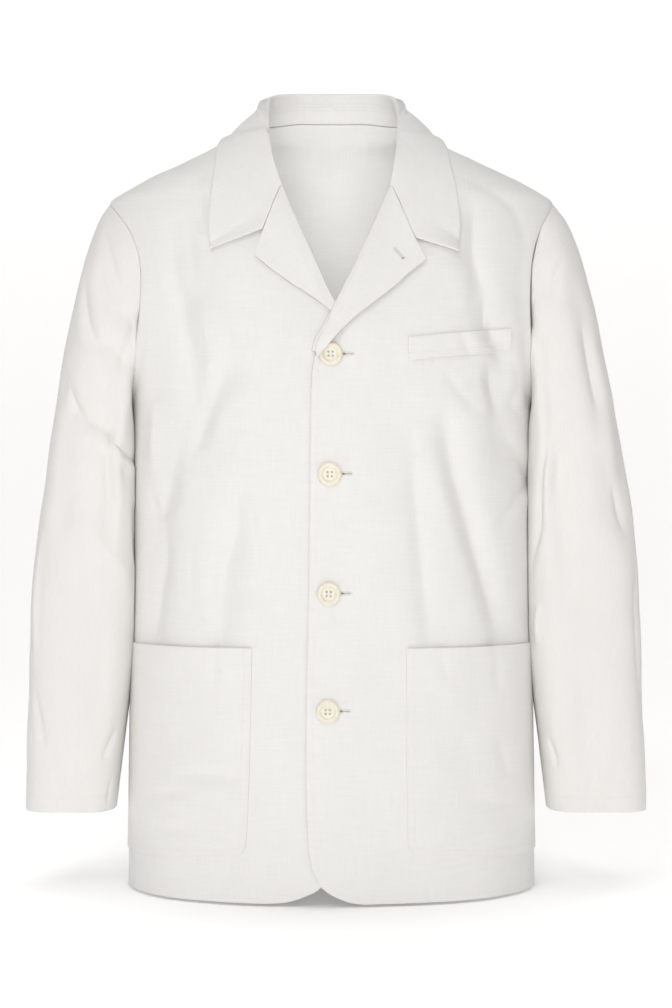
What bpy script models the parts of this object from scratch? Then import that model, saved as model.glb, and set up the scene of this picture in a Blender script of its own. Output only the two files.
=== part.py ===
"""A hollow linen blazer in its worn shape, in metres, +Z up, with its front towards -Y.

Every cloth piece is a thin closed wall whose middle surface is worked out from sections of the torso and of
the sleeves. The origin is the middle of the neck opening, level with the high points of the shoulders. +X is
the wearer's left. "across" is a distance from the middle line towards a piece's own side, and "lift" is a
distance out of the torso's surface.
"""

import math
from typing import NamedTuple

import bmesh
import bpy
import numpy as np
from mathutils import Matrix

# Cloth and seams
PANEL_WALL = 0.0015
TURNED_WALL = 0.0015  # the lapels and the collar
POCKET_WALL = 0.0012
SEAM_GAP = 0.0003
LAID_ON = PANEL_WALL / 2 + SEAM_GAP + POCKET_WALL / 2  # lift of a patch sewn onto a panel

# Heights of the main levels
HEM = -0.755
ARMPIT = -0.285
BREAK = -0.2377  # where the roll line meets the front edge
GORGE = -0.0775  # where collar and lapel meet on the roll line
SHOULDER_TIP = -0.082
NECK_POINT = -0.008
BACK_NECK = 0.0125

SQUARENESS = 2.3  # exponent of the torso's section: 2 is an ellipse, and more is squarer
MOUTH = -0.5155  # height of the patch pockets' openings
EDGE_ROWS = (-0.7225, -0.7050)  # heights of the first two rows over the hem, at the free edge
SIDE_ROWS = (-0.7370, -0.7190)  # the same at the side seam
CORNER_ROWS, CORNER_COLUMNS = (0.22, 0.45), (0.30, 0.65)  # finer places round a pocket's lower inner corner
POCKET_GAPE, GAPE_HEIGHT = 0.0016, 0.045  # how far the pocket's mouth stands off, and over what height
LOWER_ROWS_TO_POCKET, POCKET_ROWS, ROWS_OVER_POCKET, UPPER_ROWS = 2, 6, 8, 14
INNER_COLUMNS, OUTER_COLUMNS = 4, 10  # of a front, from its edge to the pocket, and on to the side
NECK_COLUMNS, SHOULDER_COLUMNS = 4, 7  # of half the back
BREAK_ROW, GORGE_ROW = 2, 9  # rows above the armpit at which the lapel starts and ends
FIRST_ROW_OVER_ARMPIT = LOWER_ROWS_TO_POCKET + POCKET_ROWS + ROWS_OVER_POCKET

# Where the upper front lies over the lower one, and where the lapels lie between them
OVERLAP_FADE_ACROSS = (0.022, 0.062)
OVERLAP_FADE_HEIGHT = (-0.180, -0.130)
LAPEL_BETWEEN_HEIGHT = (-0.300, -0.255)

LINEN = (0.845, 0.835, 0.80)
SLEEVE_LINEN = (0.83, 0.82, 0.785)
HORN = (0.84, 0.76, 0.60)
CLOTH_ROUGHNESS, CLOTH_SHEEN, HORN_ROUGHNESS = 0.9, 0.15, 0.35
SHARP_ANGLE = math.radians(50)


class TorsoSection(NamedTuple):
    """A level section of the torso: half its width, and how far its front and back reach from the middle."""

    height: float
    half_width: float
    front_depth: float
    back_depth: float


TORSO = (
    TorsoSection(-0.755, 0.2015, 0.1280, 0.1270),
    TorsoSection(-0.700, 0.2005, 0.1275, 0.1250),
    TorsoSection(-0.600, 0.1990, 0.1260, 0.1200),
    TorsoSection(-0.500, 0.1970, 0.1250, 0.1170),
    TorsoSection(-0.400, 0.1965, 0.1265, 0.1170),
    TorsoSection(-0.350, 0.1965, 0.1280, 0.1190),
    TorsoSection(-0.285, 0.1980, 0.1290, 0.1220),
    TorsoSection(-0.230, 0.2080, 0.1275, 0.1230),
    TorsoSection(-0.180, 0.2160, 0.1200, 0.1210),
    TorsoSection(-0.130, 0.2205, 0.1050, 0.1155),
    TorsoSection(-0.100, 0.2215, 0.0930, 0.1105),
    TorsoSection(-0.082, 0.2185, 0.0840, 0.1060),
    TorsoSection(-0.062, 0.1900, 0.0740, 0.1000),
    TorsoSection(-0.048, 0.1600, 0.0670, 0.0950),
    TorsoSection(-0.034, 0.1310, 0.0600, 0.0900),
    TorsoSection(-0.020, 0.1040, 0.0530, 0.0840),
    TorsoSection(-0.008, 0.0780, 0.0460, 0.0780),
    TorsoSection(0.013, 0.0700, 0.0400, 0.0700),
)


class EdgePoint(NamedTuple):
    """A point of a front's free edge: straight to the break, then the roll line, then the neck seam."""

    height: float
    across: float


class OutlinePoint(NamedTuple):
    """A point of an edge that runs across: a hem that rises to a rounded corner, or the neckline."""

    across: float
    height: float


class LapelPoint(NamedTuple):
    """A point of a lapel's free edge; share runs from 0 at the break to 1 at the tip."""

    share: float
    across: float
    height: float


class CollarStation(NamedTuple):
    """A section of the collar, from the gorge to the middle of the back: its crease and outer edge."""

    crease_across: float
    crease_y: float
    crease_height: float
    edge_across: float
    edge_y: float
    edge_height: float


class Fold(NamedTuple):
    """A soft crease from one point to another: a ridge where depth is above zero, else a trough."""

    from_across: float
    from_height: float
    to_across: float
    to_height: float
    half_width: float
    depth: float


class FrontCut(NamedTuple):
    """Everything in which the two fronts differ."""

    sign: int
    overlap_lift: float
    armhole_depth: float
    pocket_across: float
    notch: tuple
    collar_tip: tuple
    tip_curl: float
    edge: tuple
    hem: tuple
    lapel: tuple
    collar: tuple
    folds: tuple


BACK_OF_COLLAR = (
    CollarStation(0.0625, 0.0240, 0.0300, 0.1000, 0.0330, -0.0170),
    CollarStation(0.0510, 0.0470, 0.0385, 0.0745, 0.0585, -0.0125),
    CollarStation(0.0280, 0.0620, 0.0420, 0.0400, 0.0775, -0.0085),
    CollarStation(0.0000, 0.0680, 0.0430, 0.0000, 0.0840, -0.0065),
)

LEFT = FrontCut(
    sign=1,
    overlap_lift=0.0016,
    armhole_depth=0.066,
    pocket_across=0.0705,
    notch=(0.0794, -0.1297),
    collar_tip=(0.1175, -0.1438),
    tip_curl=0.0030,
    edge=(
        EdgePoint(-0.7394, -0.0089),
        EdgePoint(-0.7319, -0.0136),
        EdgePoint(-0.7200, -0.0185),
        EdgePoint(-0.7000, -0.0215),
        EdgePoint(-0.6200, -0.0236),
        EdgePoint(-0.4600, -0.0210),
        EdgePoint(-0.2640, -0.0182),
        EdgePoint(BREAK, -0.0145),
        EdgePoint(-0.1962, 0.0049),
        EdgePoint(-0.1537, 0.0256),
        EdgePoint(-0.1130, 0.0432),
        EdgePoint(-0.0925, 0.0520),
        EdgePoint(GORGE, 0.0582),
        EdgePoint(-0.0500, 0.0655),
        EdgePoint(-0.0280, 0.0715),
        EdgePoint(-0.0150, 0.0760),
        EdgePoint(NECK_POINT, 0.0780),
    ),
    hem=(
        OutlinePoint(-0.0089, -0.7394),
        OutlinePoint(-0.0014, -0.7450),
        OutlinePoint(0.0080, -0.7497),
        OutlinePoint(0.0192, -0.7535),
        OutlinePoint(0.0330, HEM),
        OutlinePoint(0.3000, HEM),
    ),
    lapel=(
        LapelPoint(0.00, -0.0130, -0.2440),
        LapelPoint(0.12, -0.0030, -0.2320),
        LapelPoint(0.38, 0.0206, -0.2070),
        LapelPoint(0.57, 0.0397, -0.1916),
        LapelPoint(0.76, 0.0589, -0.1758),
        LapelPoint(0.90, 0.0743, -0.1619),
        LapelPoint(1.00, 0.0898, -0.1495),
    ),
    collar=(
        CollarStation(0.0602, -0.0745, -0.0560, 0.1222, -0.0880, -0.1190),
        CollarStation(0.0634, -0.0610, -0.0350, 0.1205, -0.0760, -0.0900),
        CollarStation(0.0648, -0.0440, -0.0155, 0.1160, -0.0600, -0.0640),
        CollarStation(0.0655, -0.0225, 0.0030, 0.1098, -0.0360, -0.0410),
        CollarStation(0.0650, 0.0020, 0.0170, 0.1040, 0.0000, -0.0165),
        *BACK_OF_COLLAR,
    ),
    folds=(
        Fold(0.134, -0.105, 0.138, -0.205, 0.016, -0.0035),
        Fold(0.150, -0.265, 0.168, -0.335, 0.014, -0.0040),
        Fold(0.112, -0.320, 0.160, -0.500, 0.020, -0.0040),
        Fold(0.080, -0.370, 0.092, -0.500, 0.018, -0.0030),
    ),
)

RIGHT = FrontCut(
    sign=-1,
    overlap_lift=-0.0016,
    armhole_depth=0.074,
    pocket_across=0.0745,
    notch=(0.0645, -0.1215),
    collar_tip=(0.1136, -0.1390),
    tip_curl=0.0005,
    edge=(
        EdgePoint(-0.7350, 0.0045),
        EdgePoint(-0.7220, -0.0040),
        EdgePoint(-0.7050, -0.0100),
        EdgePoint(-0.6700, -0.0140),
        EdgePoint(-0.6000, -0.0170),
        EdgePoint(-0.5000, -0.0185),
        EdgePoint(-0.2640, -0.0182),
        EdgePoint(BREAK, -0.0145),
        EdgePoint(-0.1962, -0.0042),
        EdgePoint(-0.1732, 0.0070),
        EdgePoint(-0.1338, 0.0250),
        EdgePoint(-0.0925, 0.0430),
        EdgePoint(GORGE, 0.0487),
        EdgePoint(-0.0550, 0.0585),
        EdgePoint(-0.0330, 0.0670),
        EdgePoint(-0.0170, 0.0745),
        EdgePoint(NECK_POINT, 0.0780),
    ),
    hem=(
        OutlinePoint(0.0045, -0.7350),
        OutlinePoint(0.0155, -0.7440),
        OutlinePoint(0.0248, -0.7480),
        OutlinePoint(0.0342, -0.7516),
        OutlinePoint(0.0500, -0.7545),
        OutlinePoint(0.0650, HEM),
        OutlinePoint(0.3000, HEM),
    ),
    lapel=(
        LapelPoint(0.00, -0.0145, -0.2430),
        LapelPoint(0.15, -0.0100, -0.2200),
        LapelPoint(0.30, -0.0019, -0.2022),
        LapelPoint(0.42, 0.0080, -0.1925),
        LapelPoint(0.62, 0.0272, -0.1791),
        LapelPoint(0.82, 0.0464, -0.1664),
        LapelPoint(0.92, 0.0598, -0.1565),
        LapelPoint(1.00, 0.0729, -0.1454),
    ),
    collar=(
        CollarStation(0.0533, -0.0752, -0.0565, 0.1160, -0.0880, -0.1190),
        CollarStation(0.0588, -0.0615, -0.0350, 0.1148, -0.0760, -0.0900),
        CollarStation(0.0613, -0.0445, -0.0155, 0.1120, -0.0600, -0.0640),
        CollarStation(0.0622, -0.0225, 0.0030, 0.1085, -0.0360, -0.0410),
        CollarStation(0.0630, 0.0020, 0.0170, 0.1030, 0.0000, -0.0165),
        *BACK_OF_COLLAR,
    ),
    folds=(
        Fold(0.134, -0.085, 0.128, -0.180, 0.015, -0.0035),
        Fold(0.128, -0.185, 0.103, -0.260, 0.019, -0.0045),
        Fold(0.103, -0.260, 0.122, -0.340, 0.018, -0.0030),
        Fold(0.150, -0.380, 0.168, -0.505, 0.018, -0.0035),
        Fold(0.092, -0.370, 0.104, -0.505, 0.018, -0.0030),
    ),
)

BACK_FOLDS = (
    Fold(0.120, -0.120, 0.105, -0.250, 0.020, -0.0035),
    Fold(-0.125, -0.130, -0.100, -0.270, 0.020, -0.0035),
    Fold(0.150, -0.360, 0.090, -0.470, 0.022, -0.0040),
    Fold(-0.150, -0.350, -0.080, -0.450, 0.022, -0.0040),
    Fold(0.060, -0.500, 0.085, -0.690, 0.026, -0.0040),
    Fold(-0.050, -0.480, -0.080, -0.700, 0.026, -0.0040),
)

SHARE_OF_NECKLINE = (1.0, 0.82, 0.575, 0.295, 0.0)  # from the neck point to the middle of the back
NECKLINE = (
    OutlinePoint(0.0000, BACK_NECK),
    OutlinePoint(0.0300, 0.0118),
    OutlinePoint(0.0550, 0.0068),
    OutlinePoint(0.0720, 0.0000),
    OutlinePoint(0.0780, NECK_POINT),
)


class SleeveRing(NamedTuple):
    """A ring of the sleeve: its outer and inner points seen from the front, and its front and back reach."""

    outer_left: float
    outer_right: float
    outer_height: float
    inner_across: float
    inner_height: float
    front_depth: float
    back_depth: float
    middle_y: float


SLEEVE = (
    SleeveRing(0.2185, 0.2185, SHOULDER_TIP, 0.1980, ARMPIT, 0.0720, 0.0700, 0.0000),
    SleeveRing(0.2310, 0.2290, -0.0990, 0.2030, -0.2920, 0.0750, 0.0720, 0.0000),
    SleeveRing(0.2430, 0.2400, -0.1310, 0.2045, -0.3020, 0.0765, 0.0740, 0.0000),
    SleeveRing(0.2525, 0.2485, -0.1640, 0.2050, -0.3160, 0.0770, 0.0745, 0.0000),
    SleeveRing(0.2620, 0.2570, -0.2040, 0.2050, -0.3360, 0.0765, 0.0745, 0.0000),
    SleeveRing(0.2712, 0.2662, -0.2500, 0.2045, -0.3620, 0.0745, 0.0735, -0.0010),
    SleeveRing(0.2810, 0.2742, -0.3000, 0.2040, -0.3920, 0.0710, 0.0710, -0.0020),
    SleeveRing(0.2900, 0.2820, -0.3500, 0.2035, -0.4240, 0.0665, 0.0670, -0.0035),
    SleeveRing(0.2975, 0.2888, -0.4000, 0.2035, -0.4570, 0.0625, 0.0625, -0.0055),
    SleeveRing(0.3023, 0.2948, -0.4500, 0.2035, -0.4900, 0.0595, 0.0590, -0.0080),
    SleeveRing(0.3045, 0.2970, -0.5000, 0.2035, -0.5230, 0.0570, 0.0560, -0.0105),
    SleeveRing(0.3055, 0.2980, -0.5500, 0.2040, -0.5610, 0.0540, 0.0530, -0.0135),
    SleeveRing(0.3065, 0.2990, -0.6000, 0.2055, -0.6020, 0.0505, 0.0495, -0.0160),
    SleeveRing(0.3080, 0.2993, -0.6400, 0.2095, -0.6400, 0.0470, 0.0465, -0.0180),
    SleeveRing(0.3092, 0.2998, -0.6790, 0.2135, -0.6790, 0.0440, 0.0440, -0.0200),
)
ARMHOLE_FADE = (1.0, 0.62, 0.34, 0.14, 0.04)  # how much of the armhole's own form each first ring keeps

ROUND_PER_DEGREE = 0.0012  # way round a sleeve for each degree of its ring

# Folds of a sleeve: across is the way round from the armpit, past the front at 0.108, the outside at 0.216
# and the back at 0.324
SLEEVE_FOLDS = {
    1: (
        Fold(0.090, -0.150, 0.048, -0.215, 0.015, -0.0030),
        Fold(0.144, -0.190, 0.132, -0.380, 0.018, -0.0035),
        Fold(0.114, -0.330, 0.060, -0.400, 0.016, -0.0035),
        Fold(0.180, -0.300, 0.156, -0.400, 0.017, -0.0030),
        Fold(0.348, -0.180, 0.360, -0.360, 0.019, -0.0035),
        Fold(0.288, -0.400, 0.348, -0.470, 0.018, -0.0035),
    ),
    -1: (
        Fold(0.168, -0.115, 0.072, -0.215, 0.016, -0.0030),
        Fold(0.162, -0.270, 0.054, -0.345, 0.016, -0.0040),
        Fold(0.138, -0.300, 0.126, -0.390, 0.018, -0.0035),
        Fold(0.342, -0.190, 0.360, -0.370, 0.019, -0.0035),
        Fold(0.282, -0.390, 0.342, -0.460, 0.018, -0.0035),
    ),
}

# Lapel and collar
SOFT_ROLL = 0.0034  # lift of the turned cloth just past its fold
FLAT_ROLL = 0.0022  # the same where the other front lies over it
ROLL_CREST, CREST_DISTANCE, CREST_WIDTH = 0.0010, 0.018, 0.014  # the swelling past the fold, and where it is
RESTING_LIFT, REST_REACHED = 0.0027, (0.010, 0.055)  # lift of a free edge, and where it settles to it
COVERED_LAPEL_HEIGHT = (-0.185, -0.150)
FOLD_ANGLES = (-90, -45, 0, 45, 90)
FOLD_OVERHANG = 1.15  # how far the fold reaches past the front's edge, in radii
LAPEL_SHARES = (0.10, 0.25, 0.45, 0.70, 0.85, 1.0)
NOTCH_ON_LAPEL, NOTCH_ON_COLLAR = 0.70, 0.60  # the shares at which the gorge seam ends at the notch
COLLAR_FOLD_RADIUS = 0.0022
STAND_SHARES = (0.0, 0.5)
END_STAND_SHARES = (0.0, 0.35, 0.7)  # at the gorge, where the stand is as low as the fold
FALL_SHARES = (0.10, 0.25, 0.42, 0.60, 0.80, 1.0)
FALL_BOW = 0.0035
FALL_CLEARANCE = 0.0032

# Welt of the breast pocket, across and height of its corners
WELT_INNER_BOTTOM = (0.0720, -0.2454)
WELT_OUTER_BOTTOM = (0.1700, -0.2340)
WELT_HEIGHT = 0.0220
WELT_COLUMNS, WELT_ROWS = 6, 1
WELT_LIFT = 0.0024

# Buttons
BUTTON_RADIUS = 0.01125
BUTTON_SEGMENTS = 20
BUTTON_PLACES = ((-0.0005, -0.2398), (-0.0014, -0.3520), (-0.0023, -0.4641), (-0.0033, -0.5744))
BUTTON_LIFT = 0.0012  # of the underside, over the middle of the cloth
OVER_BUTTON, OVER_BUTTON_REACH = 0.0028, (0.013, 0.032)  # extra lift of the lapel's end over the top button
BUTTON_PROFILE = (  # radius and height over the button's underside
    (0.0000, 0.0020),
    (0.0066, 0.0020),
    (0.0078, 0.0028),
    (0.0098, 0.0030),
    (BUTTON_RADIUS, 0.0022),
    (BUTTON_RADIUS, 0.0011),
    (0.0094, 0.0000),
    (0.0000, 0.0000),
)
BUTTON_HOLE_RADIUS = 0.0010
BUTTON_HOLE_OFFSET = 0.0026  # from the middle of the button
HOLE_SIDES, PEG_LENGTH = 6, 0.01  # of the pegs that cut the holes


def along(table, given, wanted, at):
    """Reads one column of a table by another, on a smooth curve that never overshoots its points."""
    knots = np.array([getattr(row, given) for row in table])
    values = np.array([getattr(row, wanted) for row in table])
    return smooth_curve(knots, values, at)


def smooth_curve(knots, values, at):
    """Monotone cubic through the given points."""
    step = np.diff(knots)
    slope = np.diff(values) / step
    tangent = np.empty_like(values)
    tangent[0], tangent[-1] = slope[0], slope[-1]
    before, after = slope[:-1], slope[1:]
    turning = before * after <= 0
    weight_before = 2 * step[1:] + step[:-1]
    weight_after = step[1:] + 2 * step[:-1]
    safe_before, safe_after = np.where(turning, 1, before), np.where(turning, 1, after)
    mean = (weight_before + weight_after) / (weight_before / safe_before + weight_after / safe_after)
    tangent[1:-1] = np.where(turning, 0, mean)
    piece = np.clip(np.searchsorted(knots, at, side="right") - 1, 0, len(step) - 1)
    length = step[piece]
    share = np.clip((at - knots[piece]) / length, 0, 1)
    return (
        values[piece] * (1 + 2 * share) * (1 - share) ** 2
        + tangent[piece] * length * share * (1 - share) ** 2
        + values[piece + 1] * share**2 * (3 - 2 * share)
        + tangent[piece + 1] * length * share**2 * (share - 1)
    )


def blend(start, end, share):
    return start + (end - start) * share


def soft_step(value, start, end):
    """0 before start and 1 past end, with a smooth rise between them."""
    share = np.clip((value - start) / (end - start), 0, 1)
    return share * share * (3 - 2 * share)


def unit(vectors):
    return vectors / np.linalg.norm(vectors, axis=-1, keepdims=True)


# The torso's surface


def half_width(height):
    return along(TORSO, "height", "half_width", height)


def depth(height, at_front):
    return along(TORSO, "height", "front_depth" if at_front else "back_depth", height)


def on_torso(x, height, at_front):
    """The surface's points that show at x and height, seen from the front or the back."""
    share = np.clip(np.abs(x) / half_width(height), 0, 1)
    reach = depth(height, at_front) * (1 - share**SQUARENESS) ** (1 / SQUARENESS)
    return np.stack([x, -reach if at_front else reach, height], axis=-1)


def section_value(points):
    """1 on the torso's surface, less inside it and more outside it."""
    x, y, height = points[..., 0], points[..., 1], points[..., 2]
    reach = np.where(y < 0, depth(height, True), depth(height, False))
    return (np.abs(x) / half_width(height)) ** SQUARENESS + (np.abs(y) / reach) ** SQUARENESS


def slope_of_section(points, step=1e-5):
    slopes = []
    for axis in range(3):
        move = np.zeros(3)
        move[axis] = step
        slopes.append((section_value(points + move) - section_value(points - move)) / (2 * step))
    return np.stack(slopes, axis=-1)


def outward(points):
    return unit(slope_of_section(points))


def kept_clear(points, least):
    """The points, moved out where they are nearer than least to the torso's surface."""
    for _ in range(4):
        slope = slope_of_section(points)
        steepness = np.linalg.norm(slope, axis=-1, keepdims=True)
        distance = (section_value(points)[..., None] - 1) / steepness
        points = points + slope / steepness * np.maximum(least - distance, 0)
    return points


def fold_lift(folds, across, height):
    """The height of the soft creases at these places."""
    total = np.zeros(np.broadcast(across, height).shape)
    for fold in folds:
        along_x, along_z = fold.to_across - fold.from_across, fold.to_height - fold.from_height
        squared_length = along_x**2 + along_z**2
        reached = (across - fold.from_across) * along_x + (height - fold.from_height) * along_z
        share = np.clip(reached / squared_length, 0, 1)
        off_x = across - fold.from_across - share * along_x
        off_z = height - fold.from_height - share * along_z
        total += fold.depth * np.exp(-(off_x**2 + off_z**2) / fold.half_width**2)
    return total


# The fronts


def overlap_shift(cut, across, height):
    """The lift that keeps the upper front clear of the lower one, and of a lapel between them."""
    over_middle = 1 - soft_step(across, *OVERLAP_FADE_ACROSS)
    below_crossing = 1 - soft_step(height, *OVERLAP_FADE_HEIGHT)
    shift = cut.overlap_lift * np.ones_like(height)
    if cut.sign < 0:
        shift = shift * (1 + soft_step(height, *LAPEL_BETWEEN_HEIGHT))
    return shift * over_middle * below_crossing


def on_front(cut, across, height, lift=0.0):
    """Points of a front at these places, moved out by lift, and the surface's directions there."""
    base = on_torso(cut.sign * across, height, at_front=True)
    directions = outward(base)
    total = lift + overlap_shift(cut, across, height) + fold_lift(cut.folds, across, height)
    return base + directions * total[..., None], directions


def shoulder_height(half):
    """The height at which the shoulder seam is this far from the middle."""
    heights = np.linspace(SHOULDER_TIP, NECK_POINT, 400)
    return np.interp(half, half_width(heights)[::-1], heights[::-1])


def even_columns(start, stop, count):
    """Places from start to stop, across, evenly spaced along the cloth of a section below the armpit."""
    places = blend(start, stop, np.sin(np.linspace(0, math.pi / 2, 300)))
    points = on_torso(places, np.full_like(places, MOUTH), at_front=True)
    lengths = np.append(0, np.cumsum(np.linalg.norm(np.diff(points, axis=0), axis=1)))
    return np.interp(np.linspace(0, lengths[-1], count + 1), lengths, places)


def lower_row_heights(corner_height):
    """Heights of the rows below the armpit, at the free edge and at the side seam."""
    edge = [corner_height, *EDGE_ROWS]
    side = [HEM, *SIDE_ROWS]
    edge += list(np.linspace(edge[-1], MOUTH, POCKET_ROWS + 1)[1:])
    side += list(np.linspace(side[-1], MOUTH, POCKET_ROWS + 1)[1:])
    over = list(np.linspace(MOUTH, ARMPIT, ROWS_OVER_POCKET + 1)[1:])
    return np.array(edge + over), np.array(side + over)


def upper_edge_heights():
    """Heights of the rows above the armpit at the free edge: to the break, the gorge and the neck point."""
    below = np.linspace(ARMPIT, BREAK, BREAK_ROW + 1)
    lapel = np.linspace(BREAK, GORGE, GORGE_ROW - BREAK_ROW + 1)
    turns = np.linspace(0, math.pi / 2, UPPER_ROWS - GORGE_ROW + 1)
    neck = blend(GORGE, NECK_POINT, np.sin(turns))
    return np.concatenate([below, lapel[1:], neck[1:]])


def armhole(front_depth, at_front, turns):
    """The armhole's edge, an oval seen from the side; turns is 0 at the armpit and pi at the top."""
    height = blend(ARMPIT, SHOULDER_TIP, (1 - np.cos(turns)) / 2)
    reach = depth(height, at_front)
    y_share = np.clip(front_depth * np.sin(turns) / reach, 0, 1)
    return half_width(height) * (1 - y_share**SQUARENESS) ** (1 / SQUARENESS), height


def panel_rows(edge_across, edge_height, side_across, side_height, low_shares, high_shares, correct_top):
    """Places across and heights of a panel's points, row by row, between its free edge and its side."""
    rows = len(edge_height)
    across, height = [], []
    for row in range(rows):
        upper = np.clip((row - FIRST_ROW_OVER_ARMPIT) / (rows - 1 - FIRST_ROW_OVER_ARMPIT), 0, 1)
        shares = blend(low_shares, high_shares, soft_step(upper, 0.0, 0.4))
        across.append(blend(edge_across[row], side_across[row], shares))
        height.append(blend(edge_height[row], side_height[row], shares))
    across, height = np.array(across), np.array(height)
    upper_rows = slice(FIRST_ROW_OVER_ARMPIT, rows)
    climbed = (edge_height[upper_rows] - ARMPIT) / (edge_height[-1] - ARMPIT)
    height[upper_rows] += climbed[:, None] * (correct_top(across[-1]) - height[-1])
    return across, height


def front_places(cut):
    """Places of a front's points, from the hem up and from the free edge to the side."""
    low_edge, low_side = lower_row_heights(cut.edge[0].height)
    edge_height = np.concatenate([low_edge, upper_edge_heights()[1:]])
    edge_across = along(cut.edge, "height", "across", edge_height)
    turns = np.linspace(0, math.pi, UPPER_ROWS + 1)[1:]
    arm_across, arm_height = armhole(cut.armhole_depth, True, turns)
    side_across = np.concatenate([half_width(low_side), arm_across])
    side_height = np.concatenate([low_side, arm_height])
    start, width = float(along(cut.edge, "height", "across", MOUTH)), float(half_width(MOUTH))
    inner = even_columns(start, cut.pocket_across, INNER_COLUMNS)
    outer = even_columns(cut.pocket_across, width, OUTER_COLUMNS)
    low_shares = (np.append(inner, outer[1:]) - start) / (width - start)
    high_shares = np.linspace(0, 1, len(low_shares))
    across, height = panel_rows(
        edge_across, edge_height, side_across, side_height, low_shares, high_shares, shoulder_height
    )
    drop = along(cut.hem, "across", "height", across[0]) - height[0]
    for row in range(LOWER_ROWS_TO_POCKET):
        height[row] += drop * (1 - row / LOWER_ROWS_TO_POCKET)
    return across, height


def back_places():
    """Places of half the back's points, from the hem up and from the middle to the side."""
    side_low = lower_row_heights(HEM)[1]
    turns = np.linspace(0, math.pi, UPPER_ROWS + 1)[1:]
    arm_across, arm_height = armhole(SLEEVE[0].back_depth, False, turns)
    side_across = np.concatenate([half_width(side_low), arm_across])
    side_height = np.concatenate([side_low, arm_height])
    middle_height = np.append(side_low, np.linspace(ARMPIT, BACK_NECK, UPPER_ROWS + 1)[1:])
    count = NECK_COLUMNS + SHOULDER_COLUMNS
    width = float(half_width(MOUTH))
    low_shares = even_columns(0.0, width, count) / width
    neck = np.array(SHARE_OF_NECKLINE[::-1]) * NECKLINE[-1].across
    shoulder = np.linspace(NECKLINE[-1].across, SLEEVE[0].outer_left, SHOULDER_COLUMNS + 1)
    high_shares = np.append(neck, shoulder[1:]) / SLEEVE[0].outer_left

    def top_height(across):
        on_neckline = along(NECKLINE, "across", "height", across)
        return np.where(across > NECKLINE[-1].across, shoulder_height(across), on_neckline)

    middle_across = np.zeros_like(middle_height)
    return panel_rows(
        middle_across, middle_height, side_across, side_height, low_shares, high_shares, top_height
    )


# Meshes


def linen(name, colour):
    """A matt cloth material."""
    material = bpy.data.materials.new(name)
    material.use_nodes = True
    shader = material.node_tree.nodes["Principled BSDF"]
    shader.inputs["Base Color"].default_value = (*colour, 1)
    shader.inputs["Roughness"].default_value = CLOTH_ROUGHNESS
    shader.inputs["Metallic"].default_value = 0.0
    shader.inputs["Sheen Weight"].default_value = CLOTH_SHEEN
    return material


def horn(name):
    """A polished horn-like material."""
    material = bpy.data.materials.new(name)
    material.use_nodes = True
    shader = material.node_tree.nodes["Principled BSDF"]
    shader.inputs["Base Color"].default_value = (*HORN, 1)
    shader.inputs["Roughness"].default_value = HORN_ROUGHNESS
    shader.inputs["Metallic"].default_value = 0.0
    return material


def place(name, mesh, material):
    """Links a mesh to the scene as a smooth-shaded object."""
    mesh.materials.append(material)
    mesh.shade_smooth()
    mesh.set_sharp_from_angle(angle=SHARP_ANGLE)
    obj = bpy.data.objects.new(name, mesh)
    bpy.context.scene.collection.objects.link(obj)
    return obj


def grid_directions(middle, around):
    """Directions square to a grid of points; around says that its rows are closed rings."""
    if around:
        along_row = np.roll(middle, -1, axis=1) - np.roll(middle, 1, axis=1)
    else:
        along_row = np.gradient(middle, axis=1)
    return unit(np.cross(along_row, np.gradient(middle, axis=0)))


def wall(name, middle, thickness, material, directions=None, around=False):
    """A closed sheet: a grid of middle points moved both ways by half the thickness, its rims joined."""
    if directions is None:
        directions = grid_directions(middle, around)
    rows, columns = middle.shape[:2]
    sheets = np.stack([middle + directions * thickness / 2, middle - directions * thickness / 2])
    body = bmesh.new()
    vertices = [
        [[body.verts.new(point) for point in row] for row in sheet] for sheet in sheets.tolist()
    ]
    last = columns if around else columns - 1
    for row in range(rows - 1):
        for column in range(last):
            beside = (column + 1) % columns
            corners = ((row, column), (row, beside), (row + 1, beside), (row + 1, column))
            body.faces.new([vertices[0][r][c] for r, c in corners])
            body.faces.new([vertices[1][r][c] for r, c in reversed(corners)])
    rims = [[(0, c) for c in range(columns)], [(rows - 1, c) for c in range(columns)]]
    if around:
        rims = [rim + rim[:1] for rim in rims]
    else:
        rims += [[(r, 0) for r in range(rows)], [(r, columns - 1) for r in range(rows)]]
    for rim in rims:
        for (row, column), (next_row, next_column) in zip(rim, rim[1:]):
            body.faces.new(
                [
                    vertices[0][row][column],
                    vertices[0][next_row][next_column],
                    vertices[1][next_row][next_column],
                    vertices[1][row][column],
                ]
            )
    return place(name, mesh_of(body, name), material)


def drawn_in(points, directions, columns=(), rows=(), by=SEAM_GAP / 2):
    """Moves the named outer columns and rows of a grid in along the sheet, to leave the gap of a seam."""
    moved = points.copy()
    for column, inner in columns:
        step = points[:, inner] - points[:, column]
        step -= directions[:, column] * np.sum(step * directions[:, column], axis=-1, keepdims=True)
        moved[:, column] += unit(step) * by
    for row, inner in rows:
        step = points[inner] - points[row]
        step -= directions[row] * np.sum(step * directions[row], axis=-1, keepdims=True)
        moved[row] += unit(step) * by
    return moved


# Pieces


def make_front(cut, name):
    points, directions = on_front(cut, *front_places(cut))
    points = drawn_in(points, directions, columns=[(-1, -2)], rows=[(-1, -2)])
    wall(name, points, PANEL_WALL, linen(name, LINEN), directions)


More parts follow.
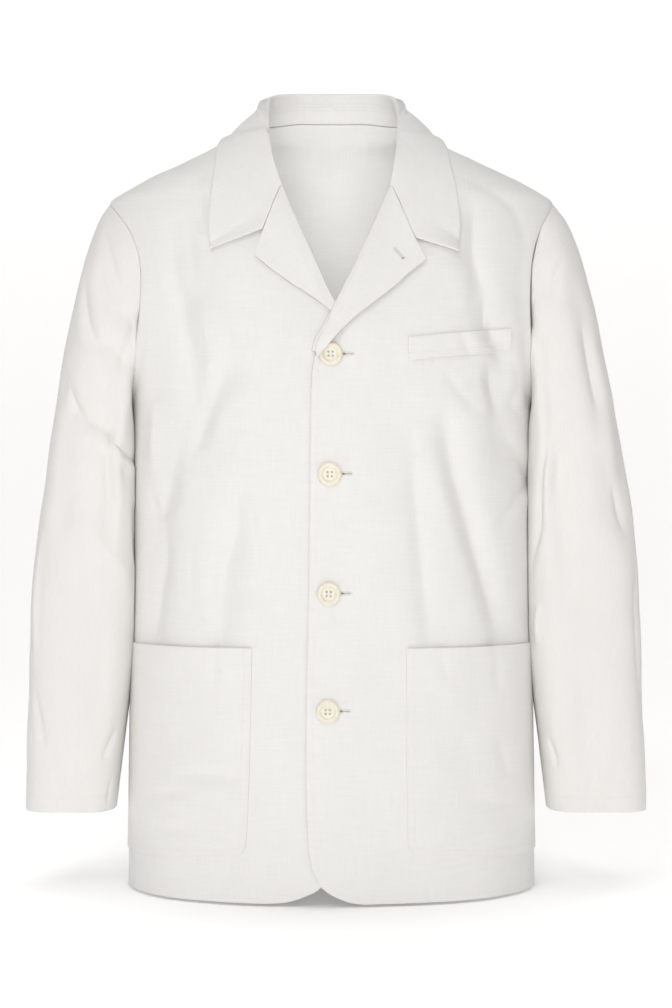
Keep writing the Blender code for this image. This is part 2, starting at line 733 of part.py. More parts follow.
def make_back():
    across, height = back_places()
    x = np.concatenate([-across[:, :0:-1], across], axis=1)
    level = np.concatenate([height[:, :0:-1], height], axis=1)
    base = on_torso(x, level, at_front=False)
    directions = outward(base)
    points = base + directions * fold_lift(BACK_FOLDS, x, level)[..., None]
    points = drawn_in(points, directions, columns=[(0, 1), (-1, -2)], rows=[(-1, -2)])
    wall("back", points, PANEL_WALL, linen("back", LINEN), directions)


def roll_frame(cut, rows):
    """Points of the roll line, the direction out of the cloth there, and the one along it, off the edge."""
    height = upper_edge_heights()[rows]
    across = along(cut.edge, "height", "across", height)
    points, directions = on_front(cut, across, height)
    ahead, _ = on_front(cut, along(cut.edge, "height", "across", height + 1e-4), height + 1e-4)
    away = unit(np.cross(ahead - points, directions)) * cut.sign
    return across, height, points, directions, away


def roll_height(cut, height):
    """How far the turned cloth stands off at its fold, which is flat where the other front covers it."""
    if cut.sign > 0:
        return SOFT_ROLL * np.ones_like(height)
    return blend(FLAT_ROLL, SOFT_ROLL, soft_step(height, *COVERED_LAPEL_HEIGHT))


def turned_lift(roll, distance):
    """Lift of the turned cloth at a distance from its fold: it swells a little, then comes to rest."""
    swelling = ROLL_CREST * np.exp(-(((distance - CREST_DISTANCE) / CREST_WIDTH) ** 2)) * (roll / SOFT_ROLL)
    resting = np.minimum(RESTING_LIFT, roll)
    return blend(roll, resting, soft_step(distance, *REST_REACHED)) + swelling


def fold_columns(points, directions, away, roll):
    """The columns that carry the cloth round its fold, out past the edge of the front and back over it."""
    radius = roll[:, None] / 2
    columns = []
    for angle in map(math.radians, FOLD_ANGLES):
        past_edge = SEAM_GAP + FOLD_OVERHANG * radius * math.cos(angle)
        columns.append(points - away * past_edge + directions * radius * (1 + math.sin(angle)))
    return columns


def clear_of_button(across, height):
    """Extra lift where the end of the upper lapel lies over the top button."""
    distance = np.hypot(across - BUTTON_PLACES[0][0], height - BUTTON_PLACES[0][1])
    return OVER_BUTTON * (1 - soft_step(distance, *OVER_BUTTON_REACH))


def gorge_to(cut, tip):
    """The gorge's end on the roll line, the notch and a tip, with their distances along the cloth's edge."""
    start = (float(along(cut.edge, "height", "across", GORGE)), GORGE)
    corners = np.array([start, cut.notch, tip])
    return corners, np.append(0, np.cumsum(np.linalg.norm(np.diff(corners, axis=0), axis=1)))


def make_lapel(cut, name):
    """Rows from the break to the gorge; the topmost one follows the gorge seam to the notch."""
    rows = np.arange(BREAK_ROW, GORGE_ROW + 1)
    across, height, points, directions, away = roll_frame(cut, rows)
    roll = roll_height(cut, height)
    if cut.sign > 0:
        roll = roll + clear_of_button(across, height)
    columns = fold_columns(points, directions, away, roll)
    shares = (rows - BREAK_ROW) / (GORGE_ROW - BREAK_ROW)
    out_across = along(cut.lapel, "share", "across", shares)
    out_height = along(cut.lapel, "share", "height", shares)
    corners, lengths = gorge_to(cut, (out_across[-1], out_height[-1]))
    length = np.hypot(out_across - across, out_height - height)
    for share in LAPEL_SHARES:
        reached = np.interp(share, (0, NOTCH_ON_LAPEL, 1), lengths)
        bend = [np.interp(reached, lengths, corners[:, axis]) for axis in range(2)]
        x, level = blend(across, out_across, share), blend(height, out_height, share)
        x, level = x + (bend[0] - x[-1]) * shares**3, level + (bend[1] - level[-1]) * shares**3
        distance = blend(share * length, reached, shares**3)
        lift = turned_lift(roll, distance)
        if cut.sign > 0:
            lift = np.maximum(lift, RESTING_LIFT + clear_of_button(x, level))
        columns.append(on_front(cut, x, level, lift)[0])
    middle = np.stack(columns, axis=1)
    normals = grid_directions(middle, around=False) * cut.sign
    normals[:, 0] = -directions
    wall(name, middle, TURNED_WALL, linen(name, LINEN), normals)


def collar_end(cut, share_of_fall):
    """The collar's end at the gorge: down the gorge to the notch, then along its front edge to the tip."""
    corners, lengths = gorge_to(cut, cut.collar_tip)
    reached = np.interp(share_of_fall, (0, NOTCH_ON_COLLAR, 1), lengths)
    place_on = [np.interp(reached, lengths, corners[:, axis]) for axis in range(2)]
    gorge = unit(corners[1] - corners[0])
    across = place_on[0] - gorge[1] * 2 * SEAM_GAP
    height = place_on[1] + gorge[0] * 2 * SEAM_GAP
    curl = cut.tip_curl * soft_step(reached, lengths[1], lengths[-1])
    return on_front(cut, across, height, turned_lift(np.array(SOFT_ROLL), reached) + curl)[0]


def neck_seam(cut):
    """Points of the neck seam from the gorge to the middle of the back, and the directions out of it."""
    height = upper_edge_heights()[GORGE_ROW:]
    front, front_out = on_front(cut, along(cut.edge, "height", "across", height), height)
    half = np.array(SHARE_OF_NECKLINE[1:]) * NECKLINE[-1].across
    back = on_torso(cut.sign * half, along(NECKLINE, "across", "height", half), at_front=False)
    return np.concatenate([front, back]), np.concatenate([front_out, outward(back)])


def halved(points):
    """The points with one more in the middle of each stretch between them."""
    middles = (points[:-1] + points[1:]) / 2
    pairs = np.stack([points[:-1], middles], axis=1).reshape(-1, *points.shape[1:])
    return np.concatenate([pairs, points[-1:]])


def smoothly_halved(points):
    """The points with one more between each two, on a smooth curve through them all."""
    knots = np.arange(len(points), dtype=float)
    finer = np.linspace(0, knots[-1], 2 * len(points) - 1)
    return np.stack([smooth_curve(knots, np.array(points)[:, axis], finer) for axis in range(3)], axis=-1)


def collar_half(cut):
    """Middle points of half the collar, station by station from the gorge to the middle of the back."""
    seam, seam_out = neck_seam(cut)
    inward = unit(np.cross(seam_out, np.gradient(seam, axis=0))) * cut.sign
    seam, seam_out = halved(seam + inward * SEAM_GAP), unit(halved(seam_out))
    end = collar_end_station(cut)
    crease_end, edge_end = end[len(STAND_SHARES) + 2], end[-1]
    mirror = np.array([cut.sign, 1, 1])
    crease = smoothly_halved([crease_end] + [np.array(row[:3]) * mirror for row in cut.collar])
    edge = smoothly_halved([edge_end] + [np.array(row[3:]) * mirror for row in cut.collar])
    stations = np.array([end] + [collar_station(*three) for three in zip(seam[1:], crease[1:], edge[1:])])
    fall = slice(len(STAND_SHARES) + len(FOLD_ANGLES), None)
    stations[1:, fall] = kept_clear(stations[1:, fall], FALL_CLEARANCE)
    return stations, seam_out


def collar_end_station(cut):
    _, _, points, directions, away = roll_frame(cut, np.array([GORGE_ROW]))
    up = unit(np.cross(directions, away)) * cut.sign
    columns = fold_columns(points + up * 2 * SEAM_GAP, directions, away, np.array([SOFT_ROLL]))
    fold = np.array([column[0] for column in columns])
    stand = [blend(fold[0], fold[1], share) for share in END_STAND_SHARES]
    fall = collar_end(cut, np.array(FALL_SHARES))
    return np.concatenate([stand, fold[1:], fall])


def collar_station(seam, crease, edge):
    """One section: up the stand, round the crease and down the fall, which bows a little outwards."""
    up = unit(crease - (seam + edge) / 2)
    side = edge - seam
    side = unit(side - up * np.dot(side, up))
    centre = crease - up * COLLAR_FOLD_RADIUS
    fold = [
        centre + COLLAR_FOLD_RADIUS * (up * math.cos(angle) + side * math.sin(angle))
        for angle in map(math.radians, FOLD_ANGLES)
    ]
    stand = [blend(seam, fold[0], share) for share in STAND_SHARES]
    out = unit(np.cross(np.cross(edge - fold[-1], side), edge - fold[-1]))
    out = out * np.sign(np.dot(out, side))
    fall = [
        blend(fold[-1], edge, share) + out * FALL_BOW * 4 * share * (1 - share) for share in FALL_SHARES
    ]
    return stand + fold + fall


def make_collar():
    right, right_out = collar_half(RIGHT)
    left, left_out = collar_half(LEFT)
    middle = np.concatenate([right, left[-2::-1]])
    normals = grid_directions(middle, around=False)
    normals[:, 0] = np.concatenate([right_out, left_out[-2::-1]])
    wall("collar", middle, TURNED_WALL, linen("collar", LINEN), normals)


def make_sleeve(cut, name):
    """A tube of rings that turn from the upright armhole to the level cuff."""
    turns = np.linspace(0, 2 * math.pi, 2 * UPPER_ROWS + 1)[:-1]
    at_front = turns <= math.pi
    front_x, front_height = armhole(cut.armhole_depth, True, turns[at_front])
    back_x, back_height = armhole(SLEEVE[0].back_depth, False, 2 * math.pi - turns[~at_front])
    seam = np.concatenate(
        [
            on_torso(cut.sign * front_x, front_height, at_front=True),
            on_torso(cut.sign * back_x, back_height, at_front=False),
        ]
    )
    seam = seam + outward(seam) * (PANEL_WALL + SEAM_GAP)
    rings = []
    plain_first = None
    for index, row in enumerate(SLEEVE):
        outer = row.outer_left if cut.sign > 0 else row.outer_right
        top = np.array([cut.sign * outer, row.middle_y, row.outer_height])
        bottom = np.array([cut.sign * row.inner_across, row.middle_y, row.inner_height])
        reach = np.where(at_front, row.front_depth, row.back_depth)[:, None]
        ring = (top + bottom) / 2 - np.cos(turns)[:, None] * (top - bottom) / 2
        ring = ring - reach * np.sin(turns)[:, None] * np.array([0, 1, 0])
        if plain_first is None:
            plain_first = ring
        kept = ARMHOLE_FADE[index] if index < len(ARMHOLE_FADE) else 0.0
        rings.append(ring + kept * (seam - plain_first))
    middle = np.array(rings)
    normals = -cut.sign * grid_directions(middle, around=True)
    way_round = np.degrees(turns)[None, :] * ROUND_PER_DEGREE
    creases = fold_lift(SLEEVE_FOLDS[cut.sign], way_round, middle[..., 2])
    middle = middle + normals * creases[..., None] * sleeve_fade()[:, None, None]
    wall(name, middle, PANEL_WALL, linen(name, SLEEVE_LINEN), around=True)


def sleeve_fade():
    """Folds fade out at the armhole and the cuff."""
    rows = np.arange(len(SLEEVE))
    return soft_step(rows, 1, 3) * (1 - soft_step(rows, len(SLEEVE) - 3, len(SLEEVE) - 1))


def pocket_places(cut):
    """Places of a patch pocket's points: those of the front under it, and finer ones round its corner."""
    across, height = front_places(cut)
    bottom, mouth = LOWER_ROWS_TO_POCKET, LOWER_ROWS_TO_POCKET + POCKET_ROWS
    inner, side = INNER_COLUMNS, INNER_COLUMNS + OUTER_COLUMNS
    corner_rows = [bottom, *(bottom + share for share in CORNER_ROWS)]
    corner_columns = [inner, *(inner + share for share in CORNER_COLUMNS)]
    rows = np.append(corner_rows, np.arange(bottom + 1, mouth + 1))
    columns = np.append(corner_columns, np.arange(inner + 1, side + 1))
    row_grid, column_grid = np.meshgrid(rows, columns, indexing="ij")
    row_grid, column_grid = row_grid.copy(), column_grid.copy()
    row_span, column_span = rows[2] - rows[0], columns[2] - columns[0]
    for step, angle in ((2, 90), (1, 67.5), (0, 45)):
        turn = math.radians(angle)
        row_grid[0, step] = rows[0] + row_span * (1 - math.sin(turn))
        column_grid[0, step] = columns[0] + column_span * (1 - math.cos(turn))
    for step, angle in ((2, 0), (1, 22.5)):
        turn = math.radians(angle)
        row_grid[step, 0] = rows[0] + row_span * (1 - math.sin(turn))
        column_grid[step, 0] = columns[0] + column_span * (1 - math.cos(turn))
    return between(across, row_grid, column_grid), between(height, row_grid, column_grid)


def between(values, rows, columns):
    """Reads a grid of values at places between its points."""
    low_row = np.clip(np.floor(rows).astype(int), 0, values.shape[0] - 2)
    low_column = np.clip(np.floor(columns).astype(int), 0, values.shape[1] - 2)
    row_share, column_share = rows - low_row, columns - low_column
    lower = blend(values[low_row, low_column], values[low_row, low_column + 1], column_share)
    upper = blend(values[low_row + 1, low_column], values[low_row + 1, low_column + 1], column_share)
    return blend(lower, upper, row_share)


def make_pocket(cut, name):
    across, height = pocket_places(cut)
    to_mouth = soft_step(height, MOUTH - GAPE_HEIGHT, MOUTH)
    across_share = np.clip((across - across[-1, 0]) / (across[-1, -1] - across[-1, 0]), 0, 1)
    gape = POCKET_GAPE * to_mouth * np.sin(math.pi * across_share) ** 0.5
    points, directions = on_front(cut, across, height, LAID_ON + gape)
    points = drawn_in(points, directions, columns=[(-1, -2)])
    wall(name, points, POCKET_WALL, linen(name, LINEN), directions)


def make_welt():
    shares = np.linspace(0, 1, WELT_COLUMNS + 1)
    inner, outer = np.array(WELT_INNER_BOTTOM), np.array(WELT_OUTER_BOTTOM)
    bottom = blend(inner[:, None], outer[:, None], shares)
    rises = np.linspace(0, WELT_HEIGHT, WELT_ROWS + 1)
    across = np.repeat(bottom[:1], len(rises), axis=0)
    height = bottom[1] + rises[:, None]
    points, directions = on_front(LEFT, across, height, WELT_LIFT * np.ones_like(height))
    wall("chest_welt", points, POCKET_WALL, linen("chest_welt", LINEN), directions)


def mesh_of(body, name):
    """Turns a finished bmesh into a mesh with its faces pointing out."""
    bmesh.ops.recalc_face_normals(body, faces=body.faces)
    mesh = bpy.data.meshes.new(name)
    body.to_mesh(mesh)
    body.free()
    return mesh


def turned_blank():
    """A button without its holes: a sunk middle and a rounded rim."""
    body = bmesh.new()
    profile = [body.verts.new((radius, 0, height)) for radius, height in BUTTON_PROFILE]
    edges = [body.edges.new(pair) for pair in zip(profile, profile[1:])]
    bmesh.ops.spin(
        body, geom=profile + edges, axis=(0, 0, 1), cent=(0, 0, 0), angle=2 * math.pi, steps=BUTTON_SEGMENTS
    )
    bmesh.ops.remove_doubles(body, verts=body.verts, dist=1e-5)
    return mesh_of(body, "button_blank")


def thread_holes():
    """Four upright pegs where the thread goes through."""
    body = bmesh.new()
    for index in range(4):
        angle = math.radians(45 + 90 * index)
        peg = bmesh.ops.create_cone(
            body,
            cap_ends=True,
            segments=HOLE_SIDES,
            radius1=BUTTON_HOLE_RADIUS,
            radius2=BUTTON_HOLE_RADIUS,
            depth=PEG_LENGTH,
        )
        place_on = (BUTTON_HOLE_OFFSET * math.cos(angle), BUTTON_HOLE_OFFSET * math.sin(angle), 0)
        bmesh.ops.translate(body, verts=peg["verts"], vec=place_on)
    return mesh_of(body, "thread_holes")


def button_mesh():
    """The button with its four holes cut through."""
    blank = bpy.data.objects.new("button_blank", turned_blank())
    pegs = bpy.data.objects.new("thread_holes", thread_holes())
    for obj in (blank, pegs):
        bpy.context.scene.collection.objects.link(obj)
    cut = blank.modifiers.new("holes", "BOOLEAN")
    cut.operation = "DIFFERENCE"
    cut.object = pegs
    graph = bpy.context.evaluated_depsgraph_get()
    mesh = bpy.data.meshes.new_from_object(blank.evaluated_get(graph))
    for obj in (blank, pegs):
        bpy.data.objects.remove(obj, do_unlink=True)
    return mesh


def make_buttons():
    """The buttons lie on the upper front, each turned to face out of the cloth."""
    mesh = button_mesh()
    for index, (x, height) in enumerate(BUTTON_PLACES, start=1):
        point, out = on_front(LEFT, np.array(x), np.array(height), BUTTON_LIFT)
        name = f"button_{index}"
        button = place(name, mesh.copy(), horn(name))
        side = unit(np.cross((0.0, 0.0, 1.0), out))
        up = np.cross(out, side)
        turn = np.identity(4)
        turn[:3, 0], turn[:3, 1], turn[:3, 2], turn[:3, 3] = side, up, out, point
        button.matrix_world = Matrix(turn.tolist())


def main():
    for obj in list(bpy.data.objects):
        bpy.data.objects.remove(obj, do_unlink=True)
    make_back()
    for cut, side in ((LEFT, "left"), (RIGHT, "right")):
        make_front(cut, f"front_{side}")
        make_lapel(cut, f"lapel_{side}")
        make_sleeve(cut, f"sleeve_{side}")
        make_pocket(cut, f"pocket_{side}")
    make_collar()
    make_welt()
    make_buttons()


main()
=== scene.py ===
"""The looks of a hollow linen blazer: fine cloth shells, top stitching, buttonholes and horn buttons.

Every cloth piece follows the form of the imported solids, worked out again here on a finer grid, with the
creases of worn linen laid over it. All sizes are metres, except that the rows of creases are given in
millimetres. +Z is up, the front faces -Y and +X is the wearer's left. "across" is a distance from the
middle line towards a piece's own side, "lift" a distance out of the torso's surface, and "way round" a
distance round a sleeve from the armpit, past the front.
"""

import logging
import math
from dataclasses import dataclass, field
from enum import Enum
from typing import NamedTuple, Optional, Sequence

import bpy
import numpy as np
from mathutils import Matrix, Vector


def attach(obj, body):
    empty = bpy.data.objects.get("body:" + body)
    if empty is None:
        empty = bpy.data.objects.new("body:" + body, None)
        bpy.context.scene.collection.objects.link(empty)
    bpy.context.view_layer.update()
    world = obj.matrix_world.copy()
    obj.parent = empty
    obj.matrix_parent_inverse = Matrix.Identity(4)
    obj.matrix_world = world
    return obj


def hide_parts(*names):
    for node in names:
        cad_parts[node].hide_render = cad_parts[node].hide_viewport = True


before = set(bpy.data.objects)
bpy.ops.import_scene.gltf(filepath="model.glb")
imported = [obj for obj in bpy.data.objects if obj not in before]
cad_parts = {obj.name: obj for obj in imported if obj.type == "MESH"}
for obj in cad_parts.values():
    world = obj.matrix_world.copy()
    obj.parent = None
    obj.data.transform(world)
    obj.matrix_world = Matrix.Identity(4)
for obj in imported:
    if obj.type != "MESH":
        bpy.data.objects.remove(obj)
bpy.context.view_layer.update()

BODY = "root"
MM_PER_METRE = 1000
log = logging.getLogger("blazer")

# Cloth and seams
PANEL_WALL = 0.0015
TURNED_WALL = 0.0015
POCKET_WALL = 0.0012
SEAM_GAP = 0.0003
LAID_ON = PANEL_WALL / 2 + SEAM_GAP + POCKET_WALL / 2

# Heights of the main levels
HEM = -0.755
ARMPIT = -0.285
BREAK = -0.2377
GORGE = -0.0775
SHOULDER_TIP = -0.082
NECK_POINT = -0.008
BACK_NECK = 0.0125
MOUTH = -0.5155

# Rows and columns of the solids' own grids, and how many times finer the cloth is
ROWS_TO_POCKET, POCKET_ROWS, ROWS_OVER_POCKET, UPPER_ROWS = 2, 6, 8, 14
INNER_COLUMNS, OUTER_COLUMNS, NECK_COLUMNS, SHOULDER_COLUMNS = 4, 10, 4, 7
BREAK_ROW, GORGE_ROW = 2, 9
ROWS_TO_ARMPIT = ROWS_TO_POCKET + POCKET_ROWS + ROWS_OVER_POCKET
FINER_ROWS = 8
FINER_COLUMNS = 7


class Side(Enum):
    """The wearer's side that a piece belongs to; the value is the sign of its x."""

    LEFT = 1
    RIGHT = -1


class Face(Enum):
    """The half of the torso that a place lies on; the value is the sign of its y."""

    FRONT = -1
    BACK = 1


class Rim(Enum):
    """An edge of a cloth grid."""

    FIRST_ROW = "first row"
    LAST_ROW = "last row"
    FIRST_COLUMN = "first column"
    LAST_COLUMN = "last column"


class Fold(NamedTuple):
    """A broad soft fold of the solids: a ridge where depth is above zero, else a trough."""

    from_across: float
    from_height: float
    to_across: float
    to_height: float
    half_width: float
    depth: float


class Crease(NamedTuple):
    """A crease of worn linen along a path of places. pinch runs from 0, round, to 1, sharp.

    ridge is the share of the depth by which the cloth stands up beside the crease: on the left of its
    direction where it is above zero, else on the right.
    """

    width: float
    depth: float
    pinch: float
    ridge: float
    path: tuple


def creases_from(*rows: tuple) -> tuple[Crease, ...]:
    """Makes creases from rows of numbers.

    Args:
        rows: width and depth in millimetres, pinch, ridge, and the path's places in millimetres.

    Returns:
        The creases, in metres.
    """
    made = []
    for width, depth, pinch, ridge, *path in rows:
        places = tuple((across / MM_PER_METRE, height / MM_PER_METRE) for across, height in path)
        made.append(Crease(width / MM_PER_METRE, depth / MM_PER_METRE, pinch, ridge, places))
    return tuple(made)


# Curves, blends and noise

CREASE_REACH = 3.2  # how many of its widths a crease is worked out to
SHARP_FALL = 2.2
SHARP_TIP = 0.1
RIDGE_PLACE = 1.5
CREASE_ENDS = 0.7


def smooth_curve(knots: np.ndarray, values: np.ndarray, at: np.ndarray) -> np.ndarray:
    """Reads a smooth curve that never overshoots the given points.

    Args:
        knots: rising places of the points.
        values: the curve's values there.
        at: places to read.

    Returns:
        The values at those places.
    """
    knots, values, at = (np.asarray(given, dtype=float) for given in (knots, values, at))
    step = np.diff(knots)
    slope = np.diff(values) / step
    tangent = np.empty_like(values)
    tangent[0], tangent[-1] = slope[0], slope[-1]
    before, after = slope[:-1], slope[1:]
    turning = before * after <= 0
    weight_before, weight_after = 2 * step[1:] + step[:-1], step[1:] + 2 * step[:-1]
    safe_before, safe_after = np.where(turning, 1, before), np.where(turning, 1, after)
    mean = (weight_before + weight_after) / (weight_before / safe_before + weight_after / safe_after)
    tangent[1:-1] = np.where(turning, 0, mean)
    piece = np.clip(np.searchsorted(knots, at, side="right") - 1, 0, len(step) - 1)
    length = step[piece]
    share = np.clip((at - knots[piece]) / length, 0, 1)
    return (
        values[piece] * (1 + 2 * share) * (1 - share) ** 2
        + tangent[piece] * length * share * (1 - share) ** 2
        + values[piece + 1] * share**2 * (3 - 2 * share)
        + tangent[piece + 1] * length * share**2 * (share - 1)
    )


def along(table: Sequence, given: int, wanted: int, at: np.ndarray) -> np.ndarray:
    """Reads one column of a table by another, on a smooth curve.

    Args:
        table: rows of numbers.
        given: the column that rises.
        wanted: the column to read.
        at: values of the given column.

    Returns:
        Values of the wanted column.
    """
    rows = np.array(table, dtype=float)
    return smooth_curve(rows[:, given], rows[:, wanted], at)


def blend(start: np.ndarray, end: np.ndarray, share: np.ndarray) -> np.ndarray:
    """Goes from start at share 0 to end at share 1."""
    return start + (end - start) * share


def soft_step(value: np.ndarray, start: float, end: float) -> np.ndarray:
    """Rises smoothly from 0 before start to 1 past end."""
    share = np.clip((value - start) / (end - start), 0, 1)
    return share * share * (3 - 2 * share)


def unit(vectors: np.ndarray) -> np.ndarray:
    """The vectors at length one."""
    return vectors / np.maximum(np.linalg.norm(vectors, axis=-1, keepdims=True), 1e-12)


def finer(values: Sequence[float], times: int) -> np.ndarray:
    """The values with evenly spaced ones between each two.

    Args:
        values: numbers in order.
        times: how many steps each gap is cut into.

    Returns:
        The longer row of numbers.
    """
    count = (len(values) - 1) * times + 1
    return np.interp(np.linspace(0, len(values) - 1, count), np.arange(len(values)), values)


def between(values: np.ndarray, rows: np.ndarray, columns: np.ndarray) -> np.ndarray:
    """Reads a grid at places between its points.

    Args:
        values: a grid of numbers or of vectors.
        rows: the places' rows, in steps of the grid.
        columns: the places' columns.

    Returns:
        The values there.
    """
    low_row = np.clip(np.floor(rows).astype(int), 0, values.shape[0] - 2)
    low_column = np.clip(np.floor(columns).astype(int), 0, values.shape[1] - 2)
    row_share, column_share = rows - low_row, columns - low_column
    if values.ndim == 3:
        row_share, column_share = row_share[..., None], column_share[..., None]
    lower = blend(values[low_row, low_column], values[low_row, low_column + 1], column_share)
    upper = blend(values[low_row + 1, low_column], values[low_row + 1, low_column + 1], column_share)
    return blend(lower, upper, row_share)


@dataclass(frozen=True)
class Rumple:
    """Gradient noise in space, for the small unevenness of cloth."""

    seed: int
    cell: tuple = (0.05, 0.05, 0.05)
    lattice: int = 32
    gain: float = 1.6

    def height(self, points: np.ndarray) -> np.ndarray:
        """The noise at these points.

        Args:
            points: places in space.

        Returns:
            Values from about -1 to 1.
        """
        drawn = np.random.default_rng(self.seed).normal(size=(self.lattice,) * 3 + (3,))
        gradients = unit(drawn)
        scaled = points / np.array(self.cell)
        low = np.floor(scaled).astype(int)
        share = scaled - low
        ease = share**3 * (share * (share * 6 - 15) + 10)
        total = np.zeros(points.shape[:-1])
        for corner in np.ndindex(2, 2, 2):
            place = (low + corner) % self.lattice
            gradient = gradients[place[..., 0], place[..., 1], place[..., 2]]
            weight = np.prod(np.where(corner, ease, 1 - ease), axis=-1)
            total += weight * np.sum(gradient * (share - corner), axis=-1)
        return total * self.gain


def fold_lift(folds: Sequence[Fold], across: np.ndarray, height: np.ndarray) -> np.ndarray:
    """The height of the broad soft folds.

    Args:
        folds: the folds.
        across: places across.
        height: their heights.

    Returns:
        How far the cloth is lifted there.
    """
    total = np.zeros(np.broadcast(across, height).shape)
    for fold in folds:
        along_x, along_z = fold.to_across - fold.from_across, fold.to_height - fold.from_height
        reached = (across - fold.from_across) * along_x + (height - fold.from_height) * along_z
        share = np.clip(reached / (along_x**2 + along_z**2), 0, 1)
        off_x = across - fold.from_across - share * along_x
        off_z = height - fold.from_height - share * along_z
        total += fold.depth * np.exp(-(off_x**2 + off_z**2) / fold.half_width**2)
    return total


def crease_lift(creases: Sequence[Crease], across: np.ndarray, height: np.ndarray) -> np.ndarray:
    """The height of the creases of worn cloth.

    Args:
        creases: the creases.
        across: places across, or round a sleeve.
        height: their heights.

    Returns:
        How far the cloth is lifted there.
    """
    total = np.zeros(np.broadcast(across, height).shape)
    for crease in creases:
        path = smooth_path(np.array(crease.path))
        reach = CREASE_REACH * crease.width
        low, high = path.min(axis=0) - reach, path.max(axis=0) + reach
        near = (across > low[0]) & (across < high[0]) & (height > low[1]) & (height < high[1])
        if near.any():
            places = np.stack([across[near], height[near]], axis=-1)
            total[near] += crease_profile(crease, *place_beside(path, places))
    return total


def smooth_path(corners: np.ndarray, steps: int = 6) -> np.ndarray:
    """A smooth path through the given places.

    Args:
        corners: places in order.
        steps: how many steps each stretch is cut into.

    Returns:
        The places of the smooth path.
    """
    knots = np.arange(len(corners), dtype=float)
    at = np.linspace(0, knots[-1], (len(corners) - 1) * steps + 1)
    if len(corners) == 2:
        return blend(corners[0], corners[1], at[:, None])
    return np.stack([smooth_curve(knots, corners[:, axis], at) for axis in range(2)], axis=-1)


def place_beside(path: np.ndarray, places: np.ndarray) -> tuple[np.ndarray, np.ndarray]:
    """Where places lie beside a path.

    Args:
        path: the path's points.
        places: the places to look at.

    Returns:
        Their signed distances from the path, left of its direction above zero, and how far along it
        they lie, from 0 to 1.
    """
    lengths = np.append(0, np.cumsum(np.linalg.norm(np.diff(path, axis=0), axis=1)))
    nearest = np.full(len(places), np.inf)
    signed, share = np.zeros(len(places)), np.zeros(len(places))
    for start, end, passed, length in zip(path, path[1:], lengths, np.diff(lengths)):
        step = end - start
        reached = np.clip((places - start) @ step / (step @ step), 0, 1)
        off = places - start - reached[:, None] * step
        distance = np.linalg.norm(off, axis=1)
        closer = distance < nearest
        side = np.sign(step[0] * off[:, 1] - step[1] * off[:, 0])
        nearest = np.where(closer, distance, nearest)
        signed = np.where(closer, distance * side, signed)
        share = np.where(closer, (passed + reached * length) / lengths[-1], share)
    return signed, share


def crease_profile(crease: Crease, signed: np.ndarray, share: np.ndarray) -> np.ndarray:
    """The height of a crease beside its path.

    Args:
        crease: the crease.
        signed: distances from its path.
        share: how far along it.

    Returns:
        The lift there.
    """
    off = signed / crease.width
    round_part = np.exp(-(off**2))
    sharp_part = np.exp(-SHARP_FALL * (np.sqrt(off**2 + SHARP_TIP**2) - SHARP_TIP))
    lift = blend(round_part, sharp_part, crease.pinch)
    beside = np.exp(-((off * np.sign(crease.ridge) - RIDGE_PLACE) ** 2))
    lift = lift - abs(crease.ridge) * beside
    return crease.depth * lift * np.sin(math.pi * np.clip(share, 0, 1)) ** CREASE_ENDS


# The form under the cloth


@dataclass(frozen=True)
class FrontCut:
    """Everything in which the two fronts differ."""

    side: Side
    overlap_lift: float
    armhole_depth: float
    pocket_across: float
    notch: tuple
    collar_tip: tuple
    notch_curl: float
    tip_curl: float
    edge: tuple  # height, across
    hem: tuple  # across, height
    lapel: tuple  # share, across, height
    collar: tuple  # crease across, y, height; outer edge across, y, height
    folds: tuple
    creases: tuple = ()

    def edge_across(self, height: np.ndarray) -> np.ndarray:
        """Places across of the free edge, the roll line and the neck seam at these heights."""
        return along(self.edge, 0, 1, height)


BACK_OF_COLLAR = (
    (0.0625, 0.0240, 0.0300, 0.1000, 0.0330, -0.0170),
    (0.0510, 0.0470, 0.0385, 0.0745, 0.0585, -0.0125),
    (0.0280, 0.0620, 0.0420, 0.0400, 0.0775, -0.0085),
    (0.0000, 0.0680, 0.0430, 0.0000, 0.0840, -0.0065),
)

